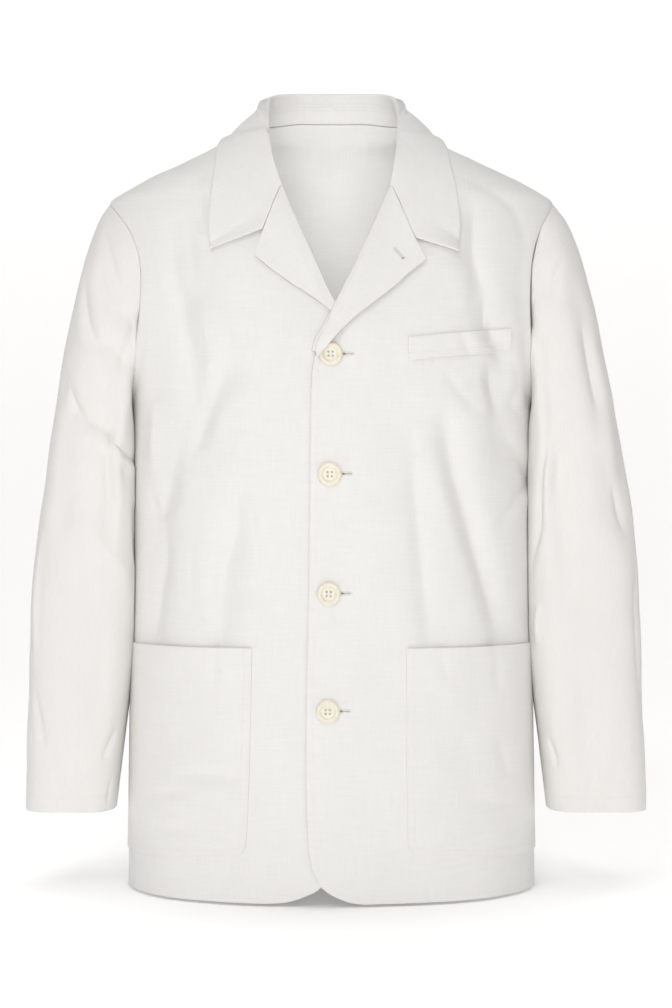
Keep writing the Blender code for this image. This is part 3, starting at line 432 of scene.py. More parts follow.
LEFT = FrontCut(
    side=Side.LEFT,
    overlap_lift=0.0016,
    armhole_depth=0.066,
    pocket_across=0.0705,
    notch=(0.0794, -0.1297),
    collar_tip=(0.1175, -0.1438),
    notch_curl=0.0022,
    tip_curl=0.0066,
    edge=(
        (-0.7394, -0.0089),
        (-0.7319, -0.0136),
        (-0.7200, -0.0185),
        (-0.7000, -0.0215),
        (-0.6200, -0.0236),
        (-0.4600, -0.0210),
        (-0.2640, -0.0182),
        (BREAK, -0.0145),
        (-0.1962, 0.0049),
        (-0.1537, 0.0256),
        (-0.1130, 0.0432),
        (-0.0925, 0.0520),
        (GORGE, 0.0582),
        (-0.0500, 0.0655),
        (-0.0280, 0.0715),
        (-0.0150, 0.0760),
        (NECK_POINT, 0.0780),
    ),
    hem=(
        (-0.0089, -0.7394),
        (-0.0014, -0.7450),
        (0.0080, -0.7497),
        (0.0192, -0.7535),
        (0.0330, HEM),
        (0.3000, HEM),
    ),
    lapel=(
        (0.00, -0.0130, -0.2440),
        (0.12, -0.0030, -0.2320),
        (0.38, 0.0206, -0.2070),
        (0.57, 0.0397, -0.1916),
        (0.76, 0.0589, -0.1758),
        (0.90, 0.0743, -0.1619),
        (1.00, 0.0898, -0.1495),
    ),
    collar=(
        (0.0602, -0.0745, -0.0560, 0.1222, -0.0880, -0.1190),
        (0.0634, -0.0610, -0.0350, 0.1205, -0.0760, -0.0900),
        (0.0648, -0.0440, -0.0155, 0.1160, -0.0600, -0.0640),
        (0.0655, -0.0225, 0.0030, 0.1098, -0.0360, -0.0410),
        (0.0650, 0.0020, 0.0170, 0.1040, 0.0000, -0.0165),
        *BACK_OF_COLLAR,
    ),
    folds=(
        Fold(0.134, -0.105, 0.138, -0.205, 0.016, -0.0035),
        Fold(0.150, -0.265, 0.168, -0.335, 0.014, -0.0040),
        Fold(0.112, -0.320, 0.160, -0.500, 0.020, -0.0040),
        Fold(0.080, -0.370, 0.092, -0.500, 0.018, -0.0030),
    ),
    creases=creases_from(
        (8.0, -3.0, 0.5, -0.2, (136, -91), (137, -135), (143, -164), (157, -193)),
        (11.5, -3.4, 0.1, -0.4, (130, -125), (147, -198), (165, -252), (172, -300)),
        (11.5, -4.4, 0.2, -0.4, (107, -290), (126, -376), (146, -442), (169, -515)),
        (10.0, 2.6, 0.0, 0.0, (178, -180), (176, -235), (181, -300)),
        (9.0, -3.0, 0.3, 0.1, (155, -203), (151, -232)),
        (3.2, -1.8, 0.8, 0.0, (147, -180), (147, -216)),
        (5.4, -1.6, 0.4, 0.0, (124, -219), (130, -242)),
        (8.1, -3.4, 0.4, -0.5, (149, -243), (154, -267), (161, -298)),
        (6.3, -1.4, 0.3, 0.0, (105, -251), (121, -274), (141, -296)),
        (6.5, -2.2, 0.4, 0.1, (172, -240), (180, -264), (175, -283), (187, -300)),
        (4.5, -1.6, 0.4, 0.0, (190, -262), (191, -290)),
        (6.3, -3.3, 0.6, 0.4, (165, -313), (187, -342), (191, -358), (179, -375), (155, -404)),
        (10.3, -3.3, 0.3, 0.2, (105, -286), (113, -334), (124, -369), (138, -407), (155, -478), (163, -522)),
        (8.5, -3.6, 0.3, 0.0, (73, -303), (78, -350), (84, -413), (93, -520)),
        (7.2, -1.6, 0.3, 0.0, (124, -63), (147, -73), (179, -98), (189, -138)),
        (5.4, -2.1, 0.4, 0.0, (104, -510), (106, -545)),
        (6.3, -2.4, 0.4, 0.0, (155, -505), (159, -562)),
        (7.2, -1.8, 0.3, 0.0, (158, -600), (170, -642)),
        (9.0, -1.6, 0.3, 0.0, (120, -655), (165, -668), (192, -662)),
    ),
)

RIGHT = FrontCut(
    side=Side.RIGHT,
    overlap_lift=-0.0016,
    armhole_depth=0.074,
    pocket_across=0.0745,
    notch=(0.0645, -0.1215),
    collar_tip=(0.1136, -0.1390),
    notch_curl=0.0022,
    tip_curl=0.0014,
    edge=(
        (-0.7350, 0.0045),
        (-0.7220, -0.0040),
        (-0.7050, -0.0100),
        (-0.6700, -0.0140),
        (-0.6000, -0.0170),
        (-0.5000, -0.0185),
        (-0.2640, -0.0182),
        (BREAK, -0.0145),
        (-0.1962, -0.0042),
        (-0.1732, 0.0070),
        (-0.1338, 0.0250),
        (-0.0925, 0.0430),
        (GORGE, 0.0487),
        (-0.0550, 0.0585),
        (-0.0330, 0.0670),
        (-0.0170, 0.0745),
        (NECK_POINT, 0.0780),
    ),
    hem=(
        (0.0045, -0.7350),
        (0.0155, -0.7440),
        (0.0248, -0.7480),
        (0.0342, -0.7516),
        (0.0500, -0.7545),
        (0.0650, HEM),
        (0.3000, HEM),
    ),
    lapel=(
        (0.00, -0.0145, -0.2430),
        (0.15, -0.0100, -0.2200),
        (0.30, -0.0019, -0.2022),
        (0.42, 0.0080, -0.1925),
        (0.62, 0.0272, -0.1791),
        (0.82, 0.0464, -0.1664),
        (0.92, 0.0598, -0.1565),
        (1.00, 0.0729, -0.1454),
    ),
    collar=(
        (0.0533, -0.0752, -0.0565, 0.1160, -0.0880, -0.1190),
        (0.0588, -0.0615, -0.0350, 0.1148, -0.0760, -0.0900),
        (0.0613, -0.0445, -0.0155, 0.1120, -0.0600, -0.0640),
        (0.0622, -0.0225, 0.0030, 0.1085, -0.0360, -0.0410),
        (0.0630, 0.0020, 0.0170, 0.1030, 0.0000, -0.0165),
        *BACK_OF_COLLAR,
    ),
    folds=(
        Fold(0.134, -0.085, 0.128, -0.180, 0.015, -0.0035),
        Fold(0.128, -0.185, 0.103, -0.260, 0.019, -0.0045),
        Fold(0.103, -0.260, 0.122, -0.340, 0.018, -0.0030),
        Fold(0.150, -0.380, 0.168, -0.505, 0.018, -0.0035),
        Fold(0.092, -0.370, 0.104, -0.505, 0.018, -0.0030),
    ),
    creases=creases_from(
        (9.0, -2.2, 0.35, -0.2, (140, -94), (136, -125), (132, -158), (130, -186)),
        (13.0, -7.6, 0.1, -0.45, (156, -105), (147, -185), (132, -255), (126, -330)),
        (12.0, -4.6, 0.15, -0.4, (136, -268), (152, -348), (169, -404), (183, -495)),
        (10.0, 2.4, 0.0, 0.0, (180, -160), (178, -225), (182, -300)),
        (11.0, -1.2, 0.25, 0.0, (131, -180), (126, -216), (116, -249)),
        (5.4, -2.2, 0.3, 0.0, (124, -77), (125, -122)),
        (9.9, -4.6, 0.3, -0.2, (116, -249), (107, -261), (114, -287), (126, -318), (135, -350)),
        (6.3, 3.0, 0.3, 0.0, (168, -280), (172, -350)),
        (5.4, -3.4, 0.5, 0.0, (176, -366), (171, -388), (157, -388)),
        (9.5, -4.8, 0.3, 0.2, (162, -398), (160, -430), (167, -462), (176, -520)),
        (10.8, -4.2, 0.3, 0.0, (88, -359), (91, -407), (100, -439), (106, -522)),
        (8.1, -2.2, 0.3, 0.0, (128, -405), (134, -450), (131, -500)),
        (5.4, -2.9, 0.4, 0.0, (110, -510), (110, -552)),
        (8.1, -2.9, 0.3, 0.2, (148, -640), (120, -637), (85, -638)),
        (6.7, -2.2, 0.3, 0.0, (179, -664), (150, -655), (122, -652)),
        (7.2, -2.2, 0.3, 0.0, (175, -689), (150, -692), (122, -686)),
        (4.0, -1.9, 0.3, 0.0, (94, -714), (98, -740)),
        (4.0, -1.9, 0.3, 0.0, (85, -712), (87, -738)),
    ),
)

BACK_FOLDS = (
    Fold(0.120, -0.120, 0.105, -0.250, 0.020, -0.0035),
    Fold(-0.125, -0.130, -0.100, -0.270, 0.020, -0.0035),
    Fold(0.150, -0.360, 0.090, -0.470, 0.022, -0.0040),
    Fold(-0.150, -0.350, -0.080, -0.450, 0.022, -0.0040),
    Fold(0.060, -0.500, 0.085, -0.690, 0.026, -0.0040),
    Fold(-0.050, -0.480, -0.080, -0.700, 0.026, -0.0040),
)
BACK_CREASES = creases_from(
    (8.0, -2.9, 0.5, 0.3, (-150, -130), (-128, -180), (-116, -240)),
    (8.5, -3.2, 0.5, -0.3, (155, -125), (130, -175), (108, -238)),
    (9.0, -2.6, 0.4, 0.0, (182, -300), (140, -330), (90, -336)),
    (10.0, -2.9, 0.4, 0.2, (-186, -305), (-145, -350), (-82, -362)),
    (9.0, -1.9, 0.3, 0.0, (-60, -28), (-78, -70), (-70, -120)),
    (9.0, -1.9, 0.3, 0.0, (40, -55), (70, -88), (112, -95)),
    (12.0, -2.3, 0.3, 0.0, (30, -240), (47, -330), (34, -425)),
    (12.0, -2.9, 0.3, 0.2, (-120, -420), (-104, -520), (-121, -650)),
    (12.0, -2.6, 0.3, -0.2, (110, -440), (127, -555), (104, -670)),
    (8.5, -2.1, 0.4, 0.0, (172, -500), (150, -560), (162, -645)),
    (10.0, -1.9, 0.3, 0.0, (-30, -540), (-18, -640), (-35, -725)),
    (7.0, -2.3, 0.5, 0.0, (-186, -440), (-160, -470), (-166, -525)),
)

SHARE_OF_NECKLINE = (1.0, 0.82, 0.575, 0.295, 0.0)  # from the neck point to the middle of the back
NECKLINE = (  # across, height
    (0.0000, BACK_NECK),
    (0.0300, 0.0118),
    (0.0550, 0.0068),
    (0.0720, 0.0000),
    (0.0780, NECK_POINT),
)
NECK_WIDTH = NECKLINE[-1][0]


@dataclass(frozen=True)
class TorsoForm:
    """The torso as level sections between an ellipse and a rectangle."""

    squareness: float = 2.3
    passes: int = 4
    shoulder_samples: int = 400
    column_samples: int = 300
    sections: tuple = (  # height, half the width, reach of the front, reach of the back
        (-0.755, 0.2015, 0.1280, 0.1270),
        (-0.700, 0.2005, 0.1275, 0.1250),
        (-0.600, 0.1990, 0.1260, 0.1200),
        (-0.500, 0.1970, 0.1250, 0.1170),
        (-0.400, 0.1965, 0.1265, 0.1170),
        (-0.350, 0.1965, 0.1280, 0.1190),
        (-0.285, 0.1980, 0.1290, 0.1220),
        (-0.230, 0.2080, 0.1275, 0.1230),
        (-0.180, 0.2160, 0.1200, 0.1210),
        (-0.130, 0.2205, 0.1050, 0.1155),
        (-0.100, 0.2215, 0.0930, 0.1105),
        (-0.082, 0.2185, 0.0840, 0.1060),
        (-0.062, 0.1900, 0.0740, 0.1000),
        (-0.048, 0.1600, 0.0670, 0.0950),
        (-0.034, 0.1310, 0.0600, 0.0900),
        (-0.020, 0.1040, 0.0530, 0.0840),
        (-0.008, 0.0780, 0.0460, 0.0780),
        (0.013, 0.0700, 0.0400, 0.0700),
    )

    def half_width(self, height: np.ndarray) -> np.ndarray:
        """Half the torso's width at these heights."""
        return along(self.sections, 0, 1, height)

    def depth(self, height: np.ndarray, face: Face) -> np.ndarray:
        """How far the front or the back reaches from the middle at these heights."""
        return along(self.sections, 0, 2 if face is Face.FRONT else 3, height)

    def surface(self, x: np.ndarray, height: np.ndarray, face: Face) -> np.ndarray:
        """The surface's points that show at x and height, seen from the front or the back.

        Args:
            x: places from side to side.
            height: their heights.
            face: the half to look at.

        Returns:
            The points.
        """
        share = np.clip(np.abs(x) / self.half_width(height), 0, 1)
        reach = self.depth(height, face) * (1 - share**self.squareness) ** (1 / self.squareness)
        return np.stack([x, face.value * reach, height], axis=-1)

    def section_value(self, points: np.ndarray) -> np.ndarray:
        """1 on the surface, less inside it and more outside it."""
        x, y, height = points[..., 0], points[..., 1], points[..., 2]
        reach = np.where(y < 0, self.depth(height, Face.FRONT), self.depth(height, Face.BACK))
        power = self.squareness
        return (np.abs(x) / self.half_width(height)) ** power + (np.abs(y) / reach) ** power

    def slope(self, points: np.ndarray, step: float = 1e-5) -> np.ndarray:
        """How the section's value changes from place to place.

        Args:
            points: places in space.
            step: the move at which it is measured.

        Returns:
            A vector for each place.
        """
        slopes = []
        for axis in range(3):
            move = np.zeros(3)
            move[axis] = step
            change = self.section_value(points + move) - self.section_value(points - move)
            slopes.append(change / (2 * step))
        return np.stack(slopes, axis=-1)

    def outward(self, points: np.ndarray) -> np.ndarray:
        """Directions out of the surface."""
        return unit(self.slope(points))

    def kept_clear(self, points: np.ndarray, least: float) -> np.ndarray:
        """Moves points out where they are too near the surface.

        Args:
            points: places in space.
            least: the distance they keep.

        Returns:
            The places, moved where needed.
        """
        for _ in range(self.passes):
            slope = self.slope(points)
            steepness = np.linalg.norm(slope, axis=-1, keepdims=True)
            distance = (self.section_value(points)[..., None] - 1) / steepness
            points = points + slope / steepness * np.maximum(least - distance, 0)
        return points

    def on_flat_cloth(self, points: np.ndarray, steps: int = 24) -> np.ndarray:
        """Places on a flat cloth that was wrapped round the torso with its threads level and upright.

        Args:
            points: places in space.
            steps: how many steps the length from the middle line is summed in.

        Returns:
            Lengths across from the middle line, and heights.
        """
        x, height = points[..., 0], points[..., 2]
        face = Face.FRONT if points[..., 1].mean() < 0 else Face.BACK
        shares = np.linspace(0, 1, steps + 1)
        level = self.surface(x[..., None] * shares, height[..., None] + 0 * shares, face)
        length = np.linalg.norm(np.diff(level, axis=-2), axis=-1).sum(axis=-1)
        return np.stack([length * np.sign(x), height], axis=-1)

    def shoulder_height(self, half: np.ndarray) -> np.ndarray:
        """The height at which the shoulder seam is this far from the middle."""
        heights = np.linspace(SHOULDER_TIP, NECK_POINT, self.shoulder_samples)
        return np.interp(half, self.half_width(heights)[::-1], heights[::-1])

    def even_columns(self, start: float, stop: float, count: int) -> np.ndarray:
        """Places across, evenly spaced along the cloth.

        Args:
            start: the first place.
            stop: the last place.
            count: how many steps lie between them.

        Returns:
            The places.
        """
        places = blend(start, stop, np.sin(np.linspace(0, math.pi / 2, self.column_samples)))
        points = self.surface(places, np.full_like(places, MOUTH), Face.FRONT)
        lengths = np.append(0, np.cumsum(np.linalg.norm(np.diff(points, axis=0), axis=1)))
        return np.interp(np.linspace(0, lengths[-1], count + 1), lengths, places)

    def armhole(self, reach: float, face: Face, turns: np.ndarray) -> tuple[np.ndarray, np.ndarray]:
        """The armhole's edge, an oval seen from the side.

        Args:
            reach: half the oval's width.
            face: the half of the torso.
            turns: angles, 0 at the armpit and pi at the top.

        Returns:
            Places across, and heights.
        """
        height = blend(ARMPIT, SHOULDER_TIP, (1 - np.cos(turns)) / 2)
        y_share = np.clip(reach * np.sin(turns) / self.depth(height, face), 0, 1)
        across = self.half_width(height) * (1 - y_share**self.squareness) ** (1 / self.squareness)
        return across, height


TORSO = TorsoForm()


@dataclass(frozen=True)
class WornCloth:
    """The unevenness of linen that has been worn: wide waves, softer dents and fine rumples."""

    waves: Rumple = Rumple(seed=11, cell=(0.095, 0.12, 0.150))
    dents: Rumple = Rumple(seed=23, cell=(0.036, 0.050, 0.052))
    rumples: Rumple = Rumple(seed=37, cell=(0.013, 0.016, 0.018))
    wave_depth: float = 0.0016
    dent_depth: float = 0.0011
    rumple_depth: float = 0.00020
    middle_share: float = 0.35
    middle_fade: tuple = (0.02, 0.07)
    side_fade: tuple = (0.170, 0.197)
    side_loss: float = 0.8

    def lift(self, points: np.ndarray) -> np.ndarray:
        """How far the cloth is lifted at these places of the torso, less over the middle line."""
        total = (
            self.wave_depth * self.waves.height(points)
            + self.dent_depth * self.dents.height(points)
            + self.rumple_depth * self.rumples.height(points)
        )
        across = np.abs(points[..., 0])
        total = total * (1 - self.side_loss * soft_step(across, *self.side_fade))
        return total * blend(self.middle_share, 1, soft_step(across, *self.middle_fade))


WORN = WornCloth()


@dataclass(frozen=True)
class FrontForm:
    """A front's surface, and the places of its points between its free edge and its side."""

    cut: FrontCut
    edge_rows: tuple = (-0.7225, -0.7050)
    side_rows: tuple = (-0.7370, -0.7190)
    overlap_across: tuple = (0.022, 0.062)
    overlap_height: tuple = (-0.180, -0.130)
    lapel_between: tuple = (-0.300, -0.255)

    def overlap_shift(self, across: np.ndarray, height: np.ndarray) -> np.ndarray:
        """The lift that keeps the upper front clear of the lower one and of a lapel between them.

        Args:
            across: places across.
            height: their heights.

        Returns:
            The lift, below zero on the lower front.
        """
        shift = self.cut.overlap_lift * np.ones_like(height)
        if self.cut.side is Side.RIGHT:
            shift = shift * (1 + soft_step(height, *self.lapel_between))
        over_middle = 1 - soft_step(across, *self.overlap_across)
        return shift * over_middle * (1 - soft_step(height, *self.overlap_height))

    def surface(
        self, across: np.ndarray, height: np.ndarray, lift: np.ndarray = 0.0
    ) -> tuple[np.ndarray, np.ndarray]:
        """Points of the front, with its folds, creases and unevenness.

        Args:
            across: places across.
            height: their heights.
            lift: how far the points stand out of the cloth's middle.

        Returns:
            The points, and the directions out of the surface.
        """
        base = TORSO.surface(self.cut.side.value * across, height, Face.FRONT)
        directions = TORSO.outward(base)
        total = lift + self.overlap_shift(across, height) + fold_lift(self.cut.folds, across, height)
        total = total + crease_lift(self.cut.creases, across, height) + WORN.lift(base)
        return base + directions * total[..., None], directions

    def lower_heights(self) -> tuple[np.ndarray, np.ndarray]:
        """Heights of the rows up to the armpit, at the free edge and at the side seam."""
        edge, side = [self.cut.edge[0][0], *self.edge_rows], [HEM, *self.side_rows]
        edge += list(np.linspace(edge[-1], MOUTH, POCKET_ROWS + 1)[1:])
        side += list(np.linspace(side[-1], MOUTH, POCKET_ROWS + 1)[1:])
        over = list(np.linspace(MOUTH, ARMPIT, ROWS_OVER_POCKET + 1)[1:])
        return finer(edge + over, FINER_ROWS), finer(side + over, FINER_ROWS)

    def places(self) -> tuple[np.ndarray, np.ndarray]:
        """Places across and heights of the front's points, from the hem up and from the edge out."""
        low_edge, low_side = self.lower_heights()
        edge_height = np.concatenate([low_edge, upper_edge_heights()[1:]])
        turns = np.linspace(0, math.pi, UPPER_ROWS * FINER_ROWS + 1)[1:]
        arm_across, arm_height = TORSO.armhole(self.cut.armhole_depth, Face.FRONT, turns)
        side_across = np.concatenate([TORSO.half_width(low_side), arm_across])
        side_height = np.concatenate([low_side, arm_height])
        start, width = float(self.cut.edge_across(MOUTH)), float(TORSO.half_width(MOUTH))
        inner = TORSO.even_columns(start, self.cut.pocket_across, INNER_COLUMNS * FINER_COLUMNS)
        outer = TORSO.even_columns(self.cut.pocket_across, width, OUTER_COLUMNS * FINER_COLUMNS)
        low_shares = (np.append(inner, outer[1:]) - start) / (width - start)
        edge = np.stack([self.cut.edge_across(edge_height), edge_height])
        side = np.stack([side_across, side_height])
        across, height = panel_places(edge, side, low_shares, None, TORSO.shoulder_height)
        drop = along(self.cut.hem, 0, 1, across[0]) - height[0]
        rows = ROWS_TO_POCKET * FINER_ROWS
        for row in range(rows):
            height[row] += drop * (1 - row / rows)
        return across, height


def upper_edge_heights() -> np.ndarray:
    """Heights of the rows over the armpit at the free edge: to the break, the gorge and the neck point."""
    below = np.linspace(ARMPIT, BREAK, BREAK_ROW * FINER_ROWS + 1)
    lapel = np.linspace(BREAK, GORGE, (GORGE_ROW - BREAK_ROW) * FINER_ROWS + 1)
    turns = np.linspace(0, math.pi / 2, (UPPER_ROWS - GORGE_ROW) * FINER_ROWS + 1)
    neck = blend(GORGE, NECK_POINT, np.sin(turns))
    return np.concatenate([below, lapel[1:], neck[1:]])


SHARES_CHANGE = (0.0, 0.4)  # of the way from the armpit to the top


def panel_places(
    edge: np.ndarray, side: np.ndarray, low_shares: np.ndarray, high_shares: Optional[np.ndarray], top_height
) -> tuple[np.ndarray, np.ndarray]:
    """Spreads a panel's points between its free edge and its side.

    Args:
        edge: places across and heights of the free edge, row by row.
        side: the same of the side.
        low_shares: shares of the way to the side at the columns, below the armpit.
        high_shares: the same at the top, or None where they are even.
        top_height: gives the height of the topmost row at a place across.

    Returns:
        Places across and heights of all points.
    """
    rows, first = edge.shape[1], ROWS_TO_ARMPIT * FINER_ROWS
    if high_shares is None:
        high_shares = np.linspace(0, 1, len(low_shares))
    upper = np.clip((np.arange(rows) - first) / (rows - 1 - first), 0, 1)
    shares = blend(low_shares, high_shares, soft_step(upper, *SHARES_CHANGE)[:, None])
    across = blend(edge[0][:, None], side[0][:, None], shares)
    height = blend(edge[1][:, None], side[1][:, None], shares)
    climbed = (edge[1][first:] - ARMPIT) / (edge[1][-1] - ARMPIT)
    height[first:] += climbed[:, None] * (top_height(across[-1]) - height[-1])
    return across, height


# Cloth shells


def grid_directions(middle: np.ndarray, around: bool) -> np.ndarray:
    """Directions square to a grid of points.

    Args:
        middle: the grid.
        around: whether its rows are closed rings.

    Returns:
        Vectors of length one.
    """
    if around:
        along_row = np.roll(middle, -1, axis=1) - np.roll(middle, 1, axis=1)
    else:
        along_row = np.gradient(middle, axis=1)
    return unit(np.cross(along_row, np.gradient(middle, axis=0)))


def drawn_in(points: np.ndarray, directions: np.ndarray, rims: Sequence[Rim], by: float = SEAM_GAP / 2):
    """Moves the named rims of a grid in along the sheet, to leave the gap of a seam.

    Args:
        points: the grid.
        directions: its directions.
        rims: the rims to move.
        by: how far.

    Returns:
        The moved grid.
    """
    moved = points.copy()
    for rim in rims:
        edge, inner = RIM_LINES[rim]
        step = points[inner] - points[edge]
        step -= directions[edge] * np.sum(step * directions[edge], axis=-1, keepdims=True)
        moved[edge] += unit(step) * by
    return moved


FAR = 1.0  # the distance that stands for no stitched rim nearby
ALL = slice(None)
RIM_LINES = {
    Rim.FIRST_ROW: ((0, ALL), (1, ALL)),
    Rim.LAST_ROW: ((-1, ALL), (-2, ALL)),
    Rim.FIRST_COLUMN: ((ALL, 0), (ALL, 1)),
    Rim.LAST_COLUMN: ((ALL, -1), (ALL, -2)),
}


@dataclass
class ClothSheet:
    """A cloth piece: a grid of middle points that gets a wall with rounded rims.

    along_cloth holds each point's place on the flat cloth, and stitched the distance from the nearest
    top-stitched rim, which the linen reads for the groove of a stitch row: a bump, and painted shade along
    it.
    """

    name: str
    middle: np.ndarray
    directions: np.ndarray
    thickness: float
    around: bool = False
    stitched_rims: tuple = ()
    threads_level: bool = False
    rim_steps: tuple = (0.0, 0.134, 0.5, 1.0)
    rim_reach: float = 0.4
    rim_limit: float = 0.9
    least_facing: float = 0.3

    def __post_init__(self) -> None:
        """Works out the places on the flat cloth and the distances from the stitched rims."""
        middle = self.middle
        if self.around:
            middle = np.concatenate([middle, middle[:, :1]], axis=1)
            self.directions = np.concatenate([self.directions, self.directions[:, :1]], axis=1)
        row_steps = np.linalg.norm(np.diff(middle, axis=0), axis=-1)
        column_steps = np.linalg.norm(np.diff(middle, axis=1), axis=-1)
        up = np.concatenate([np.zeros((1, middle.shape[1])), np.cumsum(row_steps, axis=0)])
        over = np.concatenate([np.zeros((middle.shape[0], 1)), np.cumsum(column_steps, axis=1)], axis=1)
        start = middle[:, :1, 0] if not self.around else np.zeros((middle.shape[0], 1))
        self.along_cloth = np.stack([start + over, middle[:1, :, 2] + up], axis=-1)
        distances = {
            Rim.FIRST_ROW: up,
            Rim.LAST_ROW: up[-1:] - up,
            Rim.FIRST_COLUMN: over,
            Rim.LAST_COLUMN: over[:, -1:] - over,
        }
        self.stitched = np.full(middle.shape[:2], FAR)
        for rim in self.stitched_rims:
            self.stitched = np.minimum(self.stitched, distances[rim])
        if self.threads_level:
            self.along_cloth = TORSO.on_flat_cloth(middle)
        self.distances = distances
        self.middle = middle

    def cut_size(self) -> tuple[float, float]:
        """The widest and the longest measure of the flat piece."""
        return float(self.distances[Rim.FIRST_COLUMN].max()), float(self.distances[Rim.FIRST_ROW].max())

    def line_beside(self, rim: Rim, distance: float, lift: float = 0.0) -> tuple[np.ndarray, np.ndarray]:
        """A line on the outer face that follows a rim.

        Args:
            rim: the rim.
            distance: how far from it the line runs.
            lift: how far the line stands over the face.

        Returns:
            The line's points, and the directions out of the cloth.
        """
        outer = self.middle + self.directions * (self.thickness / 2 + lift)
        across_rim = self.distances[rim]
        if rim in (Rim.FIRST_ROW, Rim.LAST_ROW):
            outer, across_rim = outer.swapaxes(0, 1), across_rim.T
            directions = self.directions.swapaxes(0, 1)
        else:
            directions = self.directions
        if rim in (Rim.LAST_ROW, Rim.LAST_COLUMN):
            outer, across_rim, directions = outer[:, ::-1], across_rim[:, ::-1], directions[:, ::-1]
        index = np.array([np.interp(distance, line, np.arange(len(line))) for line in across_rim])
        rows = np.arange(len(outer), dtype=float)
        return between(outer, rows, index), unit(between(directions, rows, index))

    def seen_at(self, x: np.ndarray, height: np.ndarray, lift: float = 0.0) -> tuple[np.ndarray, np.ndarray]:
        """Points of the outer face that lie at these places, seen from the front.

        Args:
            x: places from side to side.
            height: their heights.
            lift: how far the points stand over the face.

        Returns:
            The points, and the directions out of the cloth.
        """
        outer = (self.middle + self.directions * (self.thickness / 2 + lift)).reshape(-1, 3)
        directions = self.directions.reshape(-1, 3)
        off_x, off_z = x[:, None] - outer[None, :, 0], height[:, None] - outer[None, :, 2]
        hidden = directions[None, :, 1] > -self.least_facing
        nearest = np.argmin(off_x**2 + off_z**2 + hidden, axis=1)
        base, out = outer[nearest], directions[nearest]
        y = base[:, 1] - (out[:, 0] * (x - base[:, 0]) + out[:, 2] * (height - base[:, 2])) / out[:, 1]
        return np.stack([x, y, height], axis=-1), out

    def rimmed(self) -> tuple[np.ndarray, np.ndarray, np.ndarray]:
        """The grid with the extra lines that round its rims.

        Returns:
            All values of the points in one array, and how full the wall is at each row and column.
        """
        radius = self.thickness / 2
        values = np.concatenate(
            [self.middle, self.directions, self.along_cloth, self.stitched[..., None]], axis=-1
        )
        full = [np.ones(values.shape[0]), np.ones(values.shape[1])]
        steps = np.array(self.rim_steps)
        swell = np.sqrt(1 - (1 - steps) ** 2)
        for axis in (0, 1) if not self.around else (0,):
            for at_end in (False, True):
                lines = values if axis == 0 else values.swapaxes(0, 1)
                lines = lines[::-1] if at_end else lines
                span = np.linalg.norm(lines[1, :, :3] - lines[0, :, :3], axis=-1)
                shares = np.minimum(steps[:, None] * radius * self.rim_reach / span, self.rim_limit)
                lines = np.concatenate([blend(lines[0], lines[1], shares[..., None]), lines[1:]])
                lines = lines[::-1] if at_end else lines
                values = lines if axis == 0 else lines.swapaxes(0, 1)
                if at_end:
                    full[axis] = np.append(full[axis][:-1], swell[::-1])
                else:
                    full[axis] = np.append(swell, full[axis][1:])
        return values, full[0], full[1]

    def build(self, material: bpy.types.Material) -> bpy.types.Object:
        """Makes the closed wall as an object.

        Args:
            material: its finish.

        Returns:
            The object, linked to the scene.
        """
        values, row_full, column_full = self.rimmed()
        turned = float(np.sum(grid_directions(self.middle, False) * self.directions)) < 0
        full = row_full[:, None] * column_full[None, :]
        points, out = values[..., :3], unit(values[..., 3:6])
        offset = out * (full * self.thickness / 2)[..., None]
        rows, columns = full.shape
        index = np.arange(rows * columns).reshape(rows, columns)
        if self.around:
            index[:, -1] = index[:, 0]
        inner_index = np.where(full > 0, index + rows * columns, index)
        vertices = np.concatenate([(points + offset).reshape(-1, 3), (points - offset).reshape(-1, 3)])
        quads, flat_quads = [], []
        flat = np.arange(rows * columns).reshape(rows, columns)
        for grid, reverse in ((index, turned), (inner_index, not turned)):
            for source, target in ((grid, quads), (flat, flat_quads)):
                corners = [source[:-1, :-1], source[:-1, 1:], source[1:, 1:], source[1:, :-1]]
                corners = corners[::-1] if reverse else corners
                target.append(np.stack(corners, axis=-1).reshape(-1, 4))
        quads, flat_quads = np.concatenate(quads), np.concatenate(flat_quads)
        mesh = mesh_of_quads(self.name, vertices, quads)
        plane = mesh.uv_layers.new(name=CLOTH_MAP)
        plane.uv.foreach_set("vector", values[..., 6:8].reshape(-1, 2)[flat_quads].ravel())
        stitched = mesh.attributes.new(STITCHED, "FLOAT", "CORNER")
        stitched.data.foreach_set("value", values[..., 8].reshape(-1)[flat_quads].ravel())
        return placed(self.name, mesh, material)


CLOTH_MAP = "cloth"
STITCHED = "stitched"


def mesh_of_quads(name: str, vertices: np.ndarray, quads: np.ndarray) -> bpy.types.Mesh:
    """Makes a mesh of four-sided faces that face the way their corners turn.

    Args:
        name: the mesh's name.
        vertices: its points; those that no face uses are left out.
        quads: the four corners of each face.

    Returns:
        The mesh.
    """
    used, compact = np.unique(quads, return_inverse=True)
    compact = compact.reshape(quads.shape)
    mesh = bpy.data.meshes.new(name)
    mesh.vertices.add(len(used))
    mesh.vertices.foreach_set("co", vertices[used].astype(np.float32).ravel())
    mesh.loops.add(quads.size)
    mesh.loops.foreach_set("vertex_index", compact.astype(np.int32).ravel())
    mesh.polygons.add(len(quads))
    mesh.polygons.foreach_set("loop_start", np.arange(0, quads.size, 4, dtype=np.int32))
    mesh.update(calc_edges=True)
    return mesh


def linked(name: str, data: object) -> bpy.types.Object:
    """Makes an object of this data and links it to the scene."""
    made = bpy.data.objects.new(name, data)
    bpy.context.scene.collection.objects.link(made)
    return made


def worked_out(made: bpy.types.Object) -> bpy.types.Mesh:
    """The mesh of an object with its modifiers applied."""
    graph = bpy.context.evaluated_depsgraph_get()
    return bpy.data.meshes.new_from_object(made.evaluated_get(graph))


